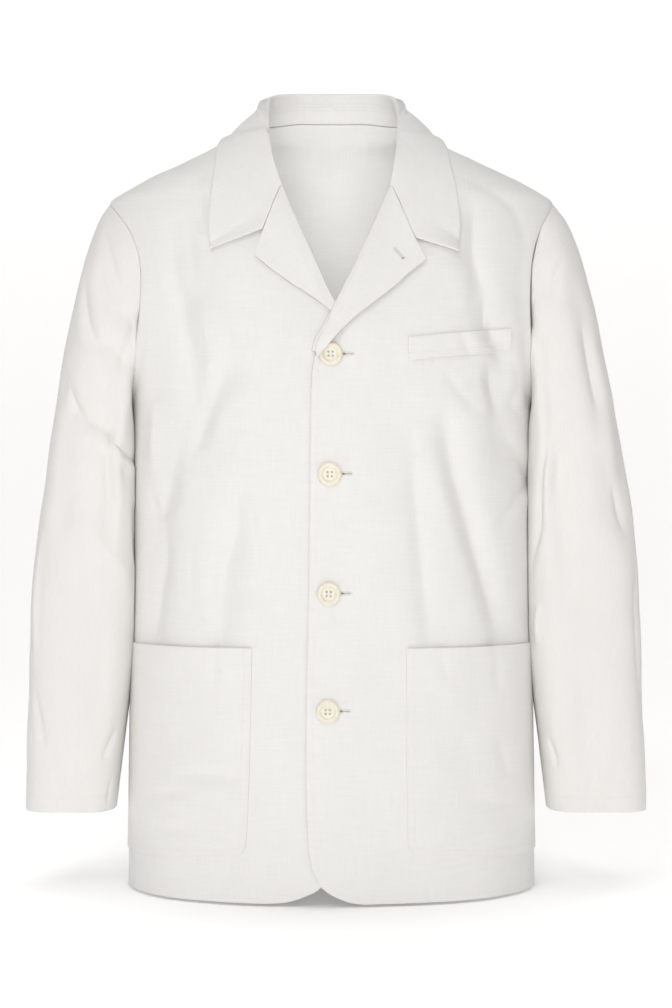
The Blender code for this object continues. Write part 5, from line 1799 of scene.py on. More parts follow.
@dataclass
class Button:
    """A four-hole button with a raised rim, sewn on with two bars of thread."""

    name: str
    across: float
    height: float
    form: FrontForm
    node: str
    lift: float = 0.0012
    segments: int = 72
    hole_radius: float = 0.00100
    hole_offset: float = 0.0027
    hole_sides: int = 20
    hole_turns: tuple = (45, 135, 225, 315)  # degrees
    drilled: tuple = (-0.005, 0.01)
    sharp_from: float = 40  # degrees
    profile: tuple = (  # radius, height over the underside
        (0.0000, 0.00195),
        (0.0050, 0.00200),
        (0.0062, 0.00208),
        (0.0069, 0.00240),
        (0.0075, 0.00280),
        (0.0083, 0.00300),
        (0.0093, 0.00300),
        (0.0102, 0.00275),
        (0.0109, 0.00230),
        (BUTTON_RADIUS, 0.00175),
        (0.0110, 0.00110),
        (0.0103, 0.00050),
        (0.0090, 0.00005),
        (0.0000, 0.00000),
    )
    thread_radius: float = 0.00024
    strands: int = 3
    strand_spread: float = 1.5
    thread_points: int = 15
    thread_level: float = 0.0019
    thread_inset: float = 0.0004
    thread_rise: float = 0.0006
    thread_dip: float = 0.0012
    dip_from: float = 0.8
    dip_steepness: float = 5
    stray: float = 0.00006
    slack: float = 0.00012

    def turned_blank(self) -> bpy.types.Mesh:
        """The button before its holes are drilled."""
        turns = np.linspace(0, 2 * math.pi, self.segments, endpoint=False)
        radii, heights = np.array(self.profile[1:-1]).T
        rings = np.stack(
            [
                radii[:, None] * np.cos(turns),
                radii[:, None] * np.sin(turns),
                np.broadcast_to(heights[:, None], (len(radii), self.segments)),
            ],
            axis=-1,
        )
        index = np.arange(rings.shape[0] * self.segments).reshape(-1, self.segments)
        beside = np.roll(index, -1, axis=1)
        quads = np.stack([index[:-1], index[1:], beside[1:], beside[:-1]], axis=-1).reshape(-1, 4)
        mesh = bpy.data.meshes.new(self.name + "_blank")
        mesh.from_pydata(
            rings.reshape(-1, 3).tolist(), [], quads.tolist() + [index[0].tolist(), index[-1][::-1].tolist()]
        )
        return mesh

    def pegs(self) -> bpy.types.Mesh:
        """Four upright pegs that drill the holes."""
        turns = np.linspace(0, 2 * math.pi, self.hole_sides, endpoint=False)
        points, faces = [], []
        for corner in np.radians(self.hole_turns):
            centre = self.hole_offset * np.array([math.cos(corner), math.sin(corner)])
            for height in self.drilled:
                for turn in turns:
                    spot = centre + self.hole_radius * np.array([math.cos(turn), math.sin(turn)])
                    points.append((*spot, height))
            first = len(points) - 2 * self.hole_sides
            low, high = range(first, first + self.hole_sides), range(first + self.hole_sides, len(points))
            faces += [tuple(reversed(low)), tuple(high)]
            for k in range(self.hole_sides):
                beside = (k + 1) % self.hole_sides
                faces.append((low[k], low[beside], high[beside], high[k]))
        mesh = bpy.data.meshes.new(self.name + "_pegs")
        mesh.from_pydata(points, [], faces)
        return mesh

    def seat(self) -> Matrix:
        """The turn and move that put the button on the cloth."""
        point, out = self.form.surface(np.array(self.across), np.array(self.height), self.lift)
        side = unit(np.cross((0.0, 0.0, 1.0), out))
        seat = np.identity(4)
        seat[:3, 0], seat[:3, 1], seat[:3, 2], seat[:3, 3] = side, np.cross(out, side), out, point
        return Matrix(seat.tolist())

    def build(self, horn: bpy.types.Material, thread: bpy.types.Material) -> list[bpy.types.Object]:
        """Makes the button and its thread.

        Args:
            horn: the button's finish.
            thread: the thread's finish.

        Returns:
            The two pieces.
        """
        blank = linked(self.name + "_blank", self.turned_blank())
        pegs = linked(self.name + "_pegs", self.pegs())
        drill = blank.modifiers.new("holes", "BOOLEAN")
        drill.operation, drill.object, drill.solver = "DIFFERENCE", pegs, "EXACT"
        mesh = worked_out(blank)
        for helper in (blank, pegs):
            bpy.data.objects.remove(helper, do_unlink=True)
        mesh.transform(self.seat())
        button = placed(self.name, mesh, horn)
        mesh.set_sharp_from_angle(angle=math.radians(self.sharp_from))
        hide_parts(self.node)
        return [button, self.bars(thread)]

    def bars(self, thread: bpy.types.Material) -> bpy.types.Object:
        """The two bars of thread, each from an upper hole to the lower one."""
        reach = self.hole_offset * math.sqrt(0.5)
        way = np.linspace(-1, 1, self.thread_points)
        dip = self.thread_dip * np.clip(np.abs(way) - self.dip_from, 0, 1) * self.dip_steepness
        rise = self.thread_rise * (1 - np.abs(way) ** 3) - dip
        points, quads, count = [], [], 0
        draw = np.random.default_rng(len(self.name) + int(MM_PER_METRE * abs(self.height)))
        for side in (-reach, reach):
            for strand in range(self.strands):
                off = (strand - (self.strands - 1) / 2) * self.thread_radius * self.strand_spread
                x = np.full_like(way, side + off) + draw.normal(0, self.stray) * (1 - way**2)
                z = self.thread_level + rise + draw.uniform(0, self.slack)
                path = np.stack([x, way * (reach - self.thread_inset), z], axis=-1)
                tube, faces = swept_tube(path, self.thread_radius)
                points.append(tube)
                quads.append(faces + count)
                count += len(tube)
        mesh = mesh_of_quads(self.name + "_thread", np.concatenate(points), np.concatenate(quads))
        mesh.transform(self.seat())
        return placed(self.name + "_thread", mesh, thread)


class StitchStyle(Enum):
    """A kind of stitch: its length, width, height and pitch, and how far it is turned from its row."""

    TOP = (0.0027, 0.00050, 0.00036, 0.0034, 0.0)
    FINE = (0.0018, 0.00036, 0.00026, 0.0024, 0.0)
    BUTTONHOLE = (0.0021, 0.00042, 0.00050, 0.00050, 90.0)


@dataclass
class StitchRows:
    """Rows of stitches of one style along lines on the cloth."""

    name: str
    style: StitchStyle
    seed: int = 5
    lines: list = field(default_factory=list)

    def add(self, points: np.ndarray, directions: np.ndarray) -> None:
        """Takes one more line: its points, and the directions out of the cloth."""
        self.lines.append((points, directions))

    def guide(self) -> bpy.types.Object:
        """All lines as one mesh of edges that carries the directions out of the cloth."""
        points, edges, count = [], [], 0
        for line, _ in self.lines:
            points.append(line)
            edges += [(count + k, count + k + 1) for k in range(len(line) - 1)]
            count += len(line)
        mesh = bpy.data.meshes.new(self.name + "_guide")
        mesh.from_pydata(np.concatenate(points).tolist(), edges, [])
        out = mesh.attributes.new("out", "FLOAT_VECTOR", "POINT")
        out.data.foreach_set("vector", np.concatenate([d for _, d in self.lines]).astype(np.float32).ravel())
        return linked(self.name + "_guide", mesh)

    def sew(self, thread: bpy.types.Material) -> bpy.types.Object:
        """Places the stitches along the lines and turns them into one mesh.

        Args:
            thread: the stitches' finish.

        Returns:
            The piece.
        """
        guide = self.guide()
        tree, sockets = stitch_tree(thread)
        modifier = guide.modifiers.new("stitches", "NODES")
        modifier.node_group = tree
        length, width, height, pitch, turn = self.style.value
        given = {
            "Length": length,
            "Width": width,
            "Height": height,
            "Pitch": pitch,
            "Turn": math.radians(turn),
            "Seed": self.seed,
        }
        for name, value in given.items():
            modifier[sockets[name]] = value
        mesh = worked_out(guide)
        mesh.name = self.name
        bpy.data.objects.remove(guide, do_unlink=True)
        return placed(self.name, mesh, thread)


STITCH_WOBBLE = 0.09  # radians
STITCH_SIZES = (0.88, 1.08)  # the least and the greatest, as a share
STITCH_FACETS = (6, 4)


def stitch_tree(thread: bpy.types.Material) -> tuple[bpy.types.NodeTree, dict[str, str]]:
    """The node tree that lays stitches along a guide.

    Args:
        thread: the stitches' finish.

    Returns:
        The tree, and the identifier of each of its inputs by name.
    """
    tree = bpy.data.node_groups.new("stitches_along_a_line", "GeometryNodeTree")
    tree.is_modifier = True
    face = tree.interface
    face.new_socket("Geometry", in_out="INPUT", socket_type="NodeSocketGeometry")
    sockets = {}
    for name in ("Length", "Width", "Height", "Pitch", "Turn"):
        sockets[name] = face.new_socket(name, in_out="INPUT", socket_type="NodeSocketFloat").identifier
    sockets["Seed"] = face.new_socket("Seed", in_out="INPUT", socket_type="NodeSocketInt").identifier
    face.new_socket("Geometry", in_out="OUTPUT", socket_type="NodeSocketGeometry")
    nodes, links = tree.nodes, tree.links

    def node(kind: str, **settings: object) -> bpy.types.Node:
        """A node of this kind with these settings."""
        made = nodes.new(kind)
        for key, value in settings.items():
            setattr(made, key, value)
        return made

    given, result = node("NodeGroupInput"), node("NodeGroupOutput")
    curve = node("GeometryNodeMeshToCurve")
    resampled = node("GeometryNodeResampleCurve", mode="LENGTH")
    out = node("GeometryNodeInputNamedAttribute", data_type="FLOAT_VECTOR")
    out.inputs["Name"].default_value = "out"
    tangent = node("GeometryNodeInputTangent")
    facing = node("FunctionNodeAxesToRotation", primary_axis="Z", secondary_axis="X")
    wobble = node("FunctionNodeRandomValue", data_type="FLOAT")
    wobble.inputs[2].default_value, wobble.inputs[3].default_value = -STITCH_WOBBLE, STITCH_WOBBLE
    turn = node("ShaderNodeMath", operation="ADD")
    euler = node("ShaderNodeCombineXYZ")
    turned = node("FunctionNodeRotateRotation", rotation_space="LOCAL")
    as_rotation = node("FunctionNodeEulerToRotation")
    stitch = node("GeometryNodeMeshUVSphere")
    stitch.inputs["Segments"].default_value, stitch.inputs["Rings"].default_value = STITCH_FACETS
    stitch.inputs["Radius"].default_value = 0.5
    size = node("ShaderNodeCombineXYZ")
    shaped = node("GeometryNodeTransform")
    spread = node("FunctionNodeRandomValue", data_type="FLOAT")
    spread.inputs[2].default_value, spread.inputs[3].default_value = STITCH_SIZES
    laid = node("GeometryNodeInstanceOnPoints")
    realised = node("GeometryNodeRealizeInstances")
    smooth = node("GeometryNodeSetShadeSmooth")
    dressed = node("GeometryNodeSetMaterial")
    dressed.inputs["Material"].default_value = thread
    for source, output, target, taken in (
        (given, "Geometry", curve, "Mesh"),
        (curve, "Curve", resampled, "Curve"),
        (given, "Pitch", resampled, "Length"),
        (out, "Attribute", facing, "Primary Axis"),
        (tangent, "Tangent", facing, "Secondary Axis"),
        (given, "Seed", wobble, "Seed"),
        (given, "Turn", turn, 0),
        (wobble, 1, turn, 1),
        (turn, 0, euler, "Z"),
        (euler, "Vector", as_rotation, "Euler"),
        (facing, "Rotation", turned, "Rotation"),
        (as_rotation, "Rotation", turned, "Rotate By"),
        (given, "Length", size, "X"),
        (given, "Width", size, "Y"),
        (given, "Height", size, "Z"),
        (stitch, "Mesh", shaped, "Geometry"),
        (size, "Vector", shaped, "Scale"),
        (given, "Seed", spread, "Seed"),
        (resampled, "Curve", laid, "Points"),
        (shaped, "Geometry", laid, "Instance"),
        (turned, "Rotation", laid, "Rotation"),
        (spread, 1, laid, "Scale"),
        (laid, "Instances", realised, "Geometry"),
        (realised, "Geometry", smooth, "Geometry"),
        (smooth, "Geometry", dressed, "Geometry"),
        (dressed, "Geometry", result, "Geometry"),
    ):
        links.new(source.outputs[output], target.inputs[taken])
    return tree, sockets


@dataclass
class Buttonhole:
    """A keyhole buttonhole: an eyelet and a slit with a rim of close stitches, and a thin dark patch in the
    opening that paints its shade.
    """

    cloth: ClothSheet
    eyelet: tuple  # x, height
    end: tuple  # x, height
    eyelet_radius: float = 0.0009
    slit_half: float = 0.00015
    lift: float = 0.0001
    ring_points: int = 22
    tail_points: int = 8
    side_points: int = 14
    shade_patch_lift: float = 0.00005
    shade_patch_wall: float = 0.00006

    def outline(self, spread: float) -> np.ndarray:
        """The keyhole's outline as places seen from the front.

        Args:
            spread: how far outside the opening it runs.

        Returns:
            Places from side to side, and heights.
        """
        eyelet, end = np.array(self.eyelet), np.array(self.end)
        ahead = unit(end - eyelet)
        square = np.array([-ahead[1], ahead[0]])
        radius, half = self.eyelet_radius + spread, self.slit_half + spread
        opening = math.asin(min(1.0, half / radius))
        turns = np.linspace(opening, 2 * math.pi - opening, self.ring_points)
        ring = eyelet + radius * (np.cos(turns)[:, None] * ahead + np.sin(turns)[:, None] * square)
        back = np.linspace(-math.pi / 2, math.pi / 2, self.tail_points)
        tail = end + half * (np.cos(back)[:, None] * ahead + np.sin(back)[:, None] * square)
        shares = np.linspace(0, 1, self.side_points)[1:, None]
        lower, upper = blend(ring[-1], tail[0], shares[:-1]), blend(tail[-1], ring[0], shares)
        return np.concatenate([ring, lower, tail, upper])

    def line(self, spread: float, lift: float) -> tuple[np.ndarray, np.ndarray]:
        """The outline's points on the cloth and the directions out of it."""
        places = self.outline(spread)
        return self.cloth.seen_at(places[:, 0], places[:, 1], self.lift + lift)

    def opening(self, name: str, finish: bpy.types.Material) -> bpy.types.Object:
        """The opening as a thin dark patch just over the cloth: painted shade where the hole is."""
        rim, out = self.line(0.0, self.shade_patch_lift)
        count = len(rim)
        top = rim + out * self.shade_patch_wall
        middle, high = rim.mean(axis=0), top.mean(axis=0)
        points = np.concatenate([rim, top, [middle, high]])
        faces = []
        for k in range(count):
            beside = (k + 1) % count
            faces += [(k, beside, beside + count, k + count)]
            faces += [(beside, k, 2 * count), (k + count, beside + count, 2 * count + 1)]
        mesh = bpy.data.meshes.new(name)
        mesh.from_pydata(points.tolist(), [], faces)
        return placed(name, mesh, finish)


# Finishes

NOISE_MIDDLE = (0.3, 0.7)


class Shader:
    """A material's nodes, written as calls."""

    def __init__(self, name: str) -> None:
        """Starts a material with a plain surface shader."""
        self.material = bpy.data.materials.new(name)
        self.material.use_nodes = True
        self.nodes, self.links = self.material.node_tree.nodes, self.material.node_tree.links
        self.surface = self.nodes["Principled BSDF"]

    def node(self, kind: str, inputs: Optional[dict] = None, **settings: object) -> bpy.types.Node:
        """Adds a node.

        Args:
            kind: the node's type.
            inputs: values or sockets for its inputs, by name or number.
            settings: its other settings.

        Returns:
            The node.
        """
        made = self.nodes.new(kind)
        for key, value in settings.items():
            setattr(made, key, value)
        for key, value in (inputs or {}).items():
            if isinstance(value, bpy.types.NodeSocket):
                self.links.new(value, made.inputs[key])
            else:
                made.inputs[key].default_value = value
        return made

    def math(self, operation: str, first: object, second: object = 0.0, third: object = 0.0):
        """The result of a sum on sockets or numbers."""
        inputs = {0: first, 1: second, 2: third}
        return self.node("ShaderNodeMath", inputs, operation=operation).outputs[0]

    def stretched(self, source: object, scale: tuple, kind: str = "ShaderNodeTexNoise", **inputs: float):
        """Noise whose cells are stretched along the axes.

        Args:
            source: the coordinates.
            scale: cells to the metre along each axis.
            kind: the texture node.
            inputs: the texture's other inputs.

        Returns:
            The noise as a number.
        """
        mapped = self.node("ShaderNodeMapping", {"Vector": source, "Scale": scale})
        given = {"Vector": mapped.outputs[0], "Scale": 1.0, **inputs}
        return self.node(kind, given).outputs[0]

    def ranged(self, value: object, low: float, high: float, to_low: float, to_high: float):
        """Moves a value from one range to another."""
        inputs = {"Value": value, "From Min": low, "From Max": high, "To Min": to_low, "To Max": to_high}
        return self.node("ShaderNodeMapRange", inputs).outputs[0]

    def varied(self, noise: object, low: float, high: float):
        """Spreads the middle part of a noise from low to high."""
        return self.ranged(noise, *NOISE_MIDDLE, low, high)

    def place(self) -> bpy.types.NodeSocket:
        """The coordinates of the place on the object."""
        return self.node("ShaderNodeTexCoord").outputs["Object"]

    def tinted(self, colour: tuple, factor: object):
        """A colour made lighter or darker by a factor."""
        inputs = {"Vector": (*colour,), "Scale": factor}
        return self.node("ShaderNodeVectorMath", inputs, operation="SCALE").outputs[0]

    def set(self, **values: object) -> None:
        """Sets sockets of the surface shader; underscores stand for the spaces in their names."""
        for key, value in values.items():
            socket = self.surface.inputs[key.replace("_", " ")]
            if isinstance(value, bpy.types.NodeSocket):
                self.links.new(value, socket)
            else:
                socket.default_value = value

    def bumped(self, height: object, distance: float, strength: float = 1.0, under: object = None):
        """A bump of this height over another.

        Args:
            height: the relief, from 0 to 1.
            distance: its depth.
            strength: how much of it shows.
            under: the normals of the relief below it.

        Returns:
            The bumped normals.
        """
        inputs = {"Height": height, "Distance": distance, "Strength": strength}
        if under is not None:
            inputs["Normal"] = under
        return self.node("ShaderNodeBump", inputs).outputs[0]


@dataclass(frozen=True)
class LinenFinish:
    """Plain-woven linen with slubs in both directions and rows of top stitching along its rims; painted shade
    darkens the weave's hollows and the stitch grooves.
    """

    name: str
    colour: tuple
    thread_pitch: float = 0.00062
    roughness: float = 0.92
    sheen: float = 0.12
    slub_shade: float = 0.035
    weave_depth: float = 0.00009
    slub_depth: float = 0.00060
    stitch_rows: tuple = ()
    stitch_groove: float = 0.00014
    groove_width: float = 0.0008
    # how dark the painted shade along a stitch groove is
    groove_painted_shade: float = 0.985
    warp_slubs: tuple = (640.0, 34.0, 1.0)  # cells to the metre
    weft_slubs: tuple = (30.0, 600.0, 1.0)
    clouds: tuple = (14.0, 9.0, 1.0)
    slub_detail: float = 3.0
    slub_edge: float = 0.7
    cloud_edge: float = 0.55
    cloud_shade: tuple = (0.988, 1.008)
    # how much darker the weave's hollows are: painted shade
    weave_hollow_shade: tuple = (0.975, 1.01)
    weave_strength: float = 0.35
    slub_strength: float = 0.6
    sheen_roughness: float = 0.5
    gloss: float = 0.25

    def material(self) -> bpy.types.Material:
        """Makes the material."""
        shader = Shader(self.name)
        plane = shader.node("ShaderNodeUVMap", uv_map=CLOTH_MAP).outputs[0]
        parts = shader.node("ShaderNodeSeparateXYZ", {0: plane})
        turn = math.pi / self.thread_pitch
        warp = shader.math("SINE", shader.math("MULTIPLY", parts.outputs[0], turn))
        weft = shader.math("SINE", shader.math("MULTIPLY", parts.outputs[1], turn))
        over = shader.math("MULTIPLY_ADD", shader.math("MULTIPLY", warp, weft), 0.5, 0.5)
        high = shader.math("ABSOLUTE", warp)
        low = shader.math("ABSOLUTE", weft)
        weave = shader.math(
            "ADD",
            shader.math("MULTIPLY", high, over),
            shader.math("MULTIPLY", low, shader.math("SUBTRACT", 1.0, over)),
        )
        slubs = {"Detail": self.slub_detail, "Roughness": self.slub_edge}
        warp_slub = shader.stretched(plane, self.warp_slubs, **slubs)
        weft_slub = shader.stretched(plane, self.weft_slubs, **slubs)
        slub = shader.math("MULTIPLY_ADD", shader.math("ADD", warp_slub, weft_slub), 0.5, 0.0)
        cloud = shader.stretched(plane, self.clouds, Detail=self.slub_detail, Roughness=self.cloud_edge)
        shade = shader.varied(slub, 1 - self.slub_shade, 1 + self.slub_shade)
        shade = shader.math("MULTIPLY", shade, shader.varied(cloud, *self.cloud_shade))
        # Painted shade: the cloth is darker in the weave's hollows between threads.
        shade = shader.math("MULTIPLY", shade, shader.ranged(weave, 0.0, 1.0, *self.weave_hollow_shade))
        normal = shader.bumped(weave, self.weave_depth, self.weave_strength)
        normal = shader.bumped(slub, self.slub_depth, self.slub_strength, normal)
        beside = shader.node("ShaderNodeAttribute", attribute_name=STITCHED).outputs["Fac"]
        for row in self.stitch_rows:
            off = shader.math("DIVIDE", shader.math("SUBTRACT", beside, row), self.groove_width)
            groove = shader.math("EXPONENT", shader.math("MULTIPLY", shader.math("MULTIPLY", off, off), -1.0))
            normal = shader.bumped(shader.math("SUBTRACT", 1.0, groove), self.stitch_groove, 1.0, normal)
            # Painted shade: the cloth is darker along each stitch groove.
            shade = shader.math("MULTIPLY", shade, shader.ranged(groove, 0.0, 1.0, 1.0, self.groove_painted_shade))
        shader.set(
            Base_Color=shader.tinted(self.colour, shade),
            Roughness=self.roughness,
            Sheen_Weight=self.sheen,
            Sheen_Roughness=self.sheen_roughness,
            Specular_IOR_Level=self.gloss,
            Normal=normal,
        )
        return shader.material


@dataclass(frozen=True)
class HornFinish:
    """Polished cream horn with faint darker growth bands."""

    name: str = "button_horn"
    colour: tuple = (0.845, 0.80, 0.665)
    band: tuple = (0.74, 0.655, 0.49)
    roughness: float = 0.32
    duller: tuple = (-0.06, 0.08)
    streaks: tuple = (160.0, 120.0, 420.0)  # cells to the metre
    clouds: tuple = (60.0, 60.0, 60.0)
    streak_range: tuple = (0.48, 0.75)
    most_banded: float = 0.55
    cloud_range: tuple = (0.35, 0.65, 0.3, 1.0)
    relief: float = 0.00004

    def material(self) -> bpy.types.Material:
        """Makes the material."""
        shader = Shader(self.name)
        place = shader.place()
        streak = shader.stretched(place, self.streaks, Detail=3.0, Roughness=0.6, Distortion=0.7)
        cloud = shader.stretched(place, self.clouds, Detail=2.0)
        banded = shader.ranged(streak, *self.streak_range, 0.0, self.most_banded)
        share = shader.math("MULTIPLY", banded, shader.ranged(cloud, *self.cloud_range))
        inputs = {6: (*self.colour, 1), 7: (*self.band, 1), 0: share}
        mixed = shader.node("ShaderNodeMix", inputs, data_type="RGBA")
        shader.set(
            Base_Color=mixed.outputs[2],
            Roughness=shader.varied(cloud, *(self.roughness + change for change in self.duller)),
            Coat_Weight=0.25,
            Coat_Roughness=0.2,
            Subsurface_Weight=0.12,
            Subsurface_Scale=0.003,
            Normal=shader.bumped(streak, self.relief, 0.6),
        )
        return shader.material


@dataclass(frozen=True)
class ThreadFinish:
    """Twisted sewing thread."""

    name: str
    colour: tuple
    roughness: float = 0.75

    def material(self) -> bpy.types.Material:
        """Makes the material."""
        shader = Shader(self.name)
        place = shader.place()
        twist = shader.stretched(place, (1500.0, 1500.0, 1500.0), Detail=1.0)
        shade = shader.varied(twist, 0.93, 1.04)
        shader.set(
            Base_Color=shader.tinted(self.colour, shade),
            Roughness=self.roughness,
            Sheen_Weight=0.1,
            Normal=shader.bumped(twist, 0.0001, 0.6),
        )
        return shader.material


@dataclass(frozen=True)
class ShadedOpeningFinish:
    """Painted shade for a buttonhole: a dark linen colour, flecked at random, laid where the hole's inside
    lies in shade.
    """

    name: str = "buttonhole_inside"
    # This dark colour is painted shade, not the colour of the cloth.
    colour: tuple = (0.34, 0.275, 0.235)

    def material(self) -> bpy.types.Material:
        """Makes the material."""
        shader = Shader(self.name)
        place = shader.place()
        lint = shader.stretched(place, (900.0, 900.0, 900.0), Detail=2.0)
        shader.set(
            Base_Color=shader.tinted(self.colour, shader.varied(lint, 0.75, 1.25)),
            Roughness=0.95,
            Normal=shader.bumped(lint, 0.0002, 0.8),
        )
        return shader.material


@dataclass(frozen=True)
class StudioFinish:
    """The pale sweep behind and under the blazer, which glows and shows only a part of the shadows on it.
    Its glow is dimmed near the hem, which paints shade on the floor round the blazer.
    """

    name: str = "studio_sweep"
    colour: tuple = (0.93, 0.93, 0.93)
    hem_shade_glow: float = 0.15
    far_glow: float = 0.42
    distances: tuple = (0.12, 0.30)

    def material(self) -> bpy.types.Material:
        """Makes the material."""
        shader = Shader(self.name)
        place = shader.place()
        mottle = shader.stretched(place, (3.0, 3.0, 3.0), Detail=1.0)
        from_hem = shader.node("ShaderNodeVectorMath", {0: place, 1: (0.0, 0.0, HEM)}, operation="DISTANCE")
        distance = from_hem.outputs["Value"]
        shader.set(
            Base_Color=shader.tinted(self.colour, shader.varied(mottle, 0.998, 1.002)),
            Roughness=1.0,
            Specular_IOR_Level=0.0,
            Emission_Color=(1.0, 1.0, 1.0, 1.0),
            # Less glow near the hem: painted shade on the floor under the blazer. More glow farther off keeps
            # the sweep evenly white.
            Emission_Strength=shader.ranged(distance, *self.distances, self.hem_shade_glow, self.far_glow),
        )
        return shader.material


# The studio


@dataclass
class Studio:
    """A pale sweep, soft light from the upper left and the front, and the photograph's camera."""

    floor_height: float = HEM - 0.0025
    sweep_front: float = -3.5
    sweep_back: float = 2.6
    sweep_radius: float = 1.2
    sweep_top: float = 4.0
    half_width: float = 6.0
    camera_place: tuple = (0.0045, -2.0, -0.380)
    lens: float = 71.43
    sensor: float = 36.0
    sky_strength: float = 0.215
    sky_colour: tuple = (1.0, 0.955, 0.92, 1.0)
    panels: tuple = (  # name, place, width and height, watts, the point that it faces
        ("key_panel", (-0.7, -2.2, 1.5), (1.0, 1.0), 15, (0, 0, -0.38)),
        ("front_panel", (0.05, -3.0, -0.15), (1.6, 1.2), 24.5, (0, 0, -0.38)),
        ("top_panel", (0.0, -0.6, 2.2), (2.0, 1.6), 15.5, (0, 0, -0.38)),
        ("neck_panel", (0.005, -0.04, -0.12), (0.12, 0.20), 0.108, (0.005, 1.0, -0.12)),
    )

    def sweep(self) -> None:
        """Lays the floor, which curves up into the backdrop."""
        turns = np.linspace(-math.pi / 2, 0, 24)
        bend_y = self.sweep_back - self.sweep_radius + self.sweep_radius * np.cos(turns)
        bend_z = self.floor_height + self.sweep_radius * (1 + np.sin(turns))
        y = np.concatenate([[self.sweep_front], bend_y, [self.sweep_back]])
        z = np.concatenate([[self.floor_height], bend_z, [self.sweep_top]])
        edges = [np.stack([np.full_like(y, side * self.half_width), y, z], axis=-1) for side in (-1, 1)]
        vertices = np.concatenate(edges)
        low = np.arange(len(y) - 1)
        quads = np.stack([low, low + len(y), low + len(y) + 1, low + 1], axis=-1)
        mesh = mesh_of_quads("studio_sweep", vertices, quads)
        mesh.materials.append(StudioFinish().material())
        mesh.shade_smooth()
        sweep = linked("studio_sweep", mesh)

    def light(self, name: str, place: tuple, size: tuple, power: float, aim: tuple) -> None:
        """Hangs a soft panel of light.

        Args:
            name: its name.
            place: where it hangs.
            size: its width and height.
            power: its power in watts.
            aim: the point that it faces.
        """
        lamp = bpy.data.lights.new(name, "AREA")
        lamp.shape, lamp.size, lamp.size_y, lamp.energy = "RECTANGLE", *size, power
        panel = linked(name, lamp)
        panel.location = place
        panel.visible_camera = False
        panel.rotation_euler = (Vector(aim) - Vector(place)).to_track_quat("-Z", "Y").to_euler()

    def sky(self) -> None:
        """Fills the studio with even light."""
        world = bpy.data.worlds.new("studio")
        world.use_nodes = True
        background = world.node_tree.nodes["Background"]
        background.inputs["Color"].default_value = self.sky_colour
        background.inputs["Strength"].default_value = self.sky_strength
        bpy.context.scene.world = world

    def camera(self) -> None:
        """Sets the camera at the photograph's place."""
        lens = bpy.data.cameras.new("camera")
        lens.lens, lens.sensor_width, lens.sensor_fit = self.lens, self.sensor, "AUTO"
        camera = linked("camera", lens)
        camera.location = self.camera_place
        camera.rotation_euler = (math.radians(90), 0, 0)
        bpy.context.scene.camera = camera

    def set_up(self) -> None:
        """Sets up the whole studio."""
        self.sweep()
        self.sky()
        for panel in self.panels:
            self.light(*panel)
        self.camera()
        bpy.context.scene.view_settings.view_transform = "Standard"


# Making the blazer


@dataclass(frozen=True)
class CutSize:
    """The flat size to which a piece was cut: width, length, and the area where it isn't a rectangle."""

    width: float
    length: float
    area: float
    held: str = "hung"


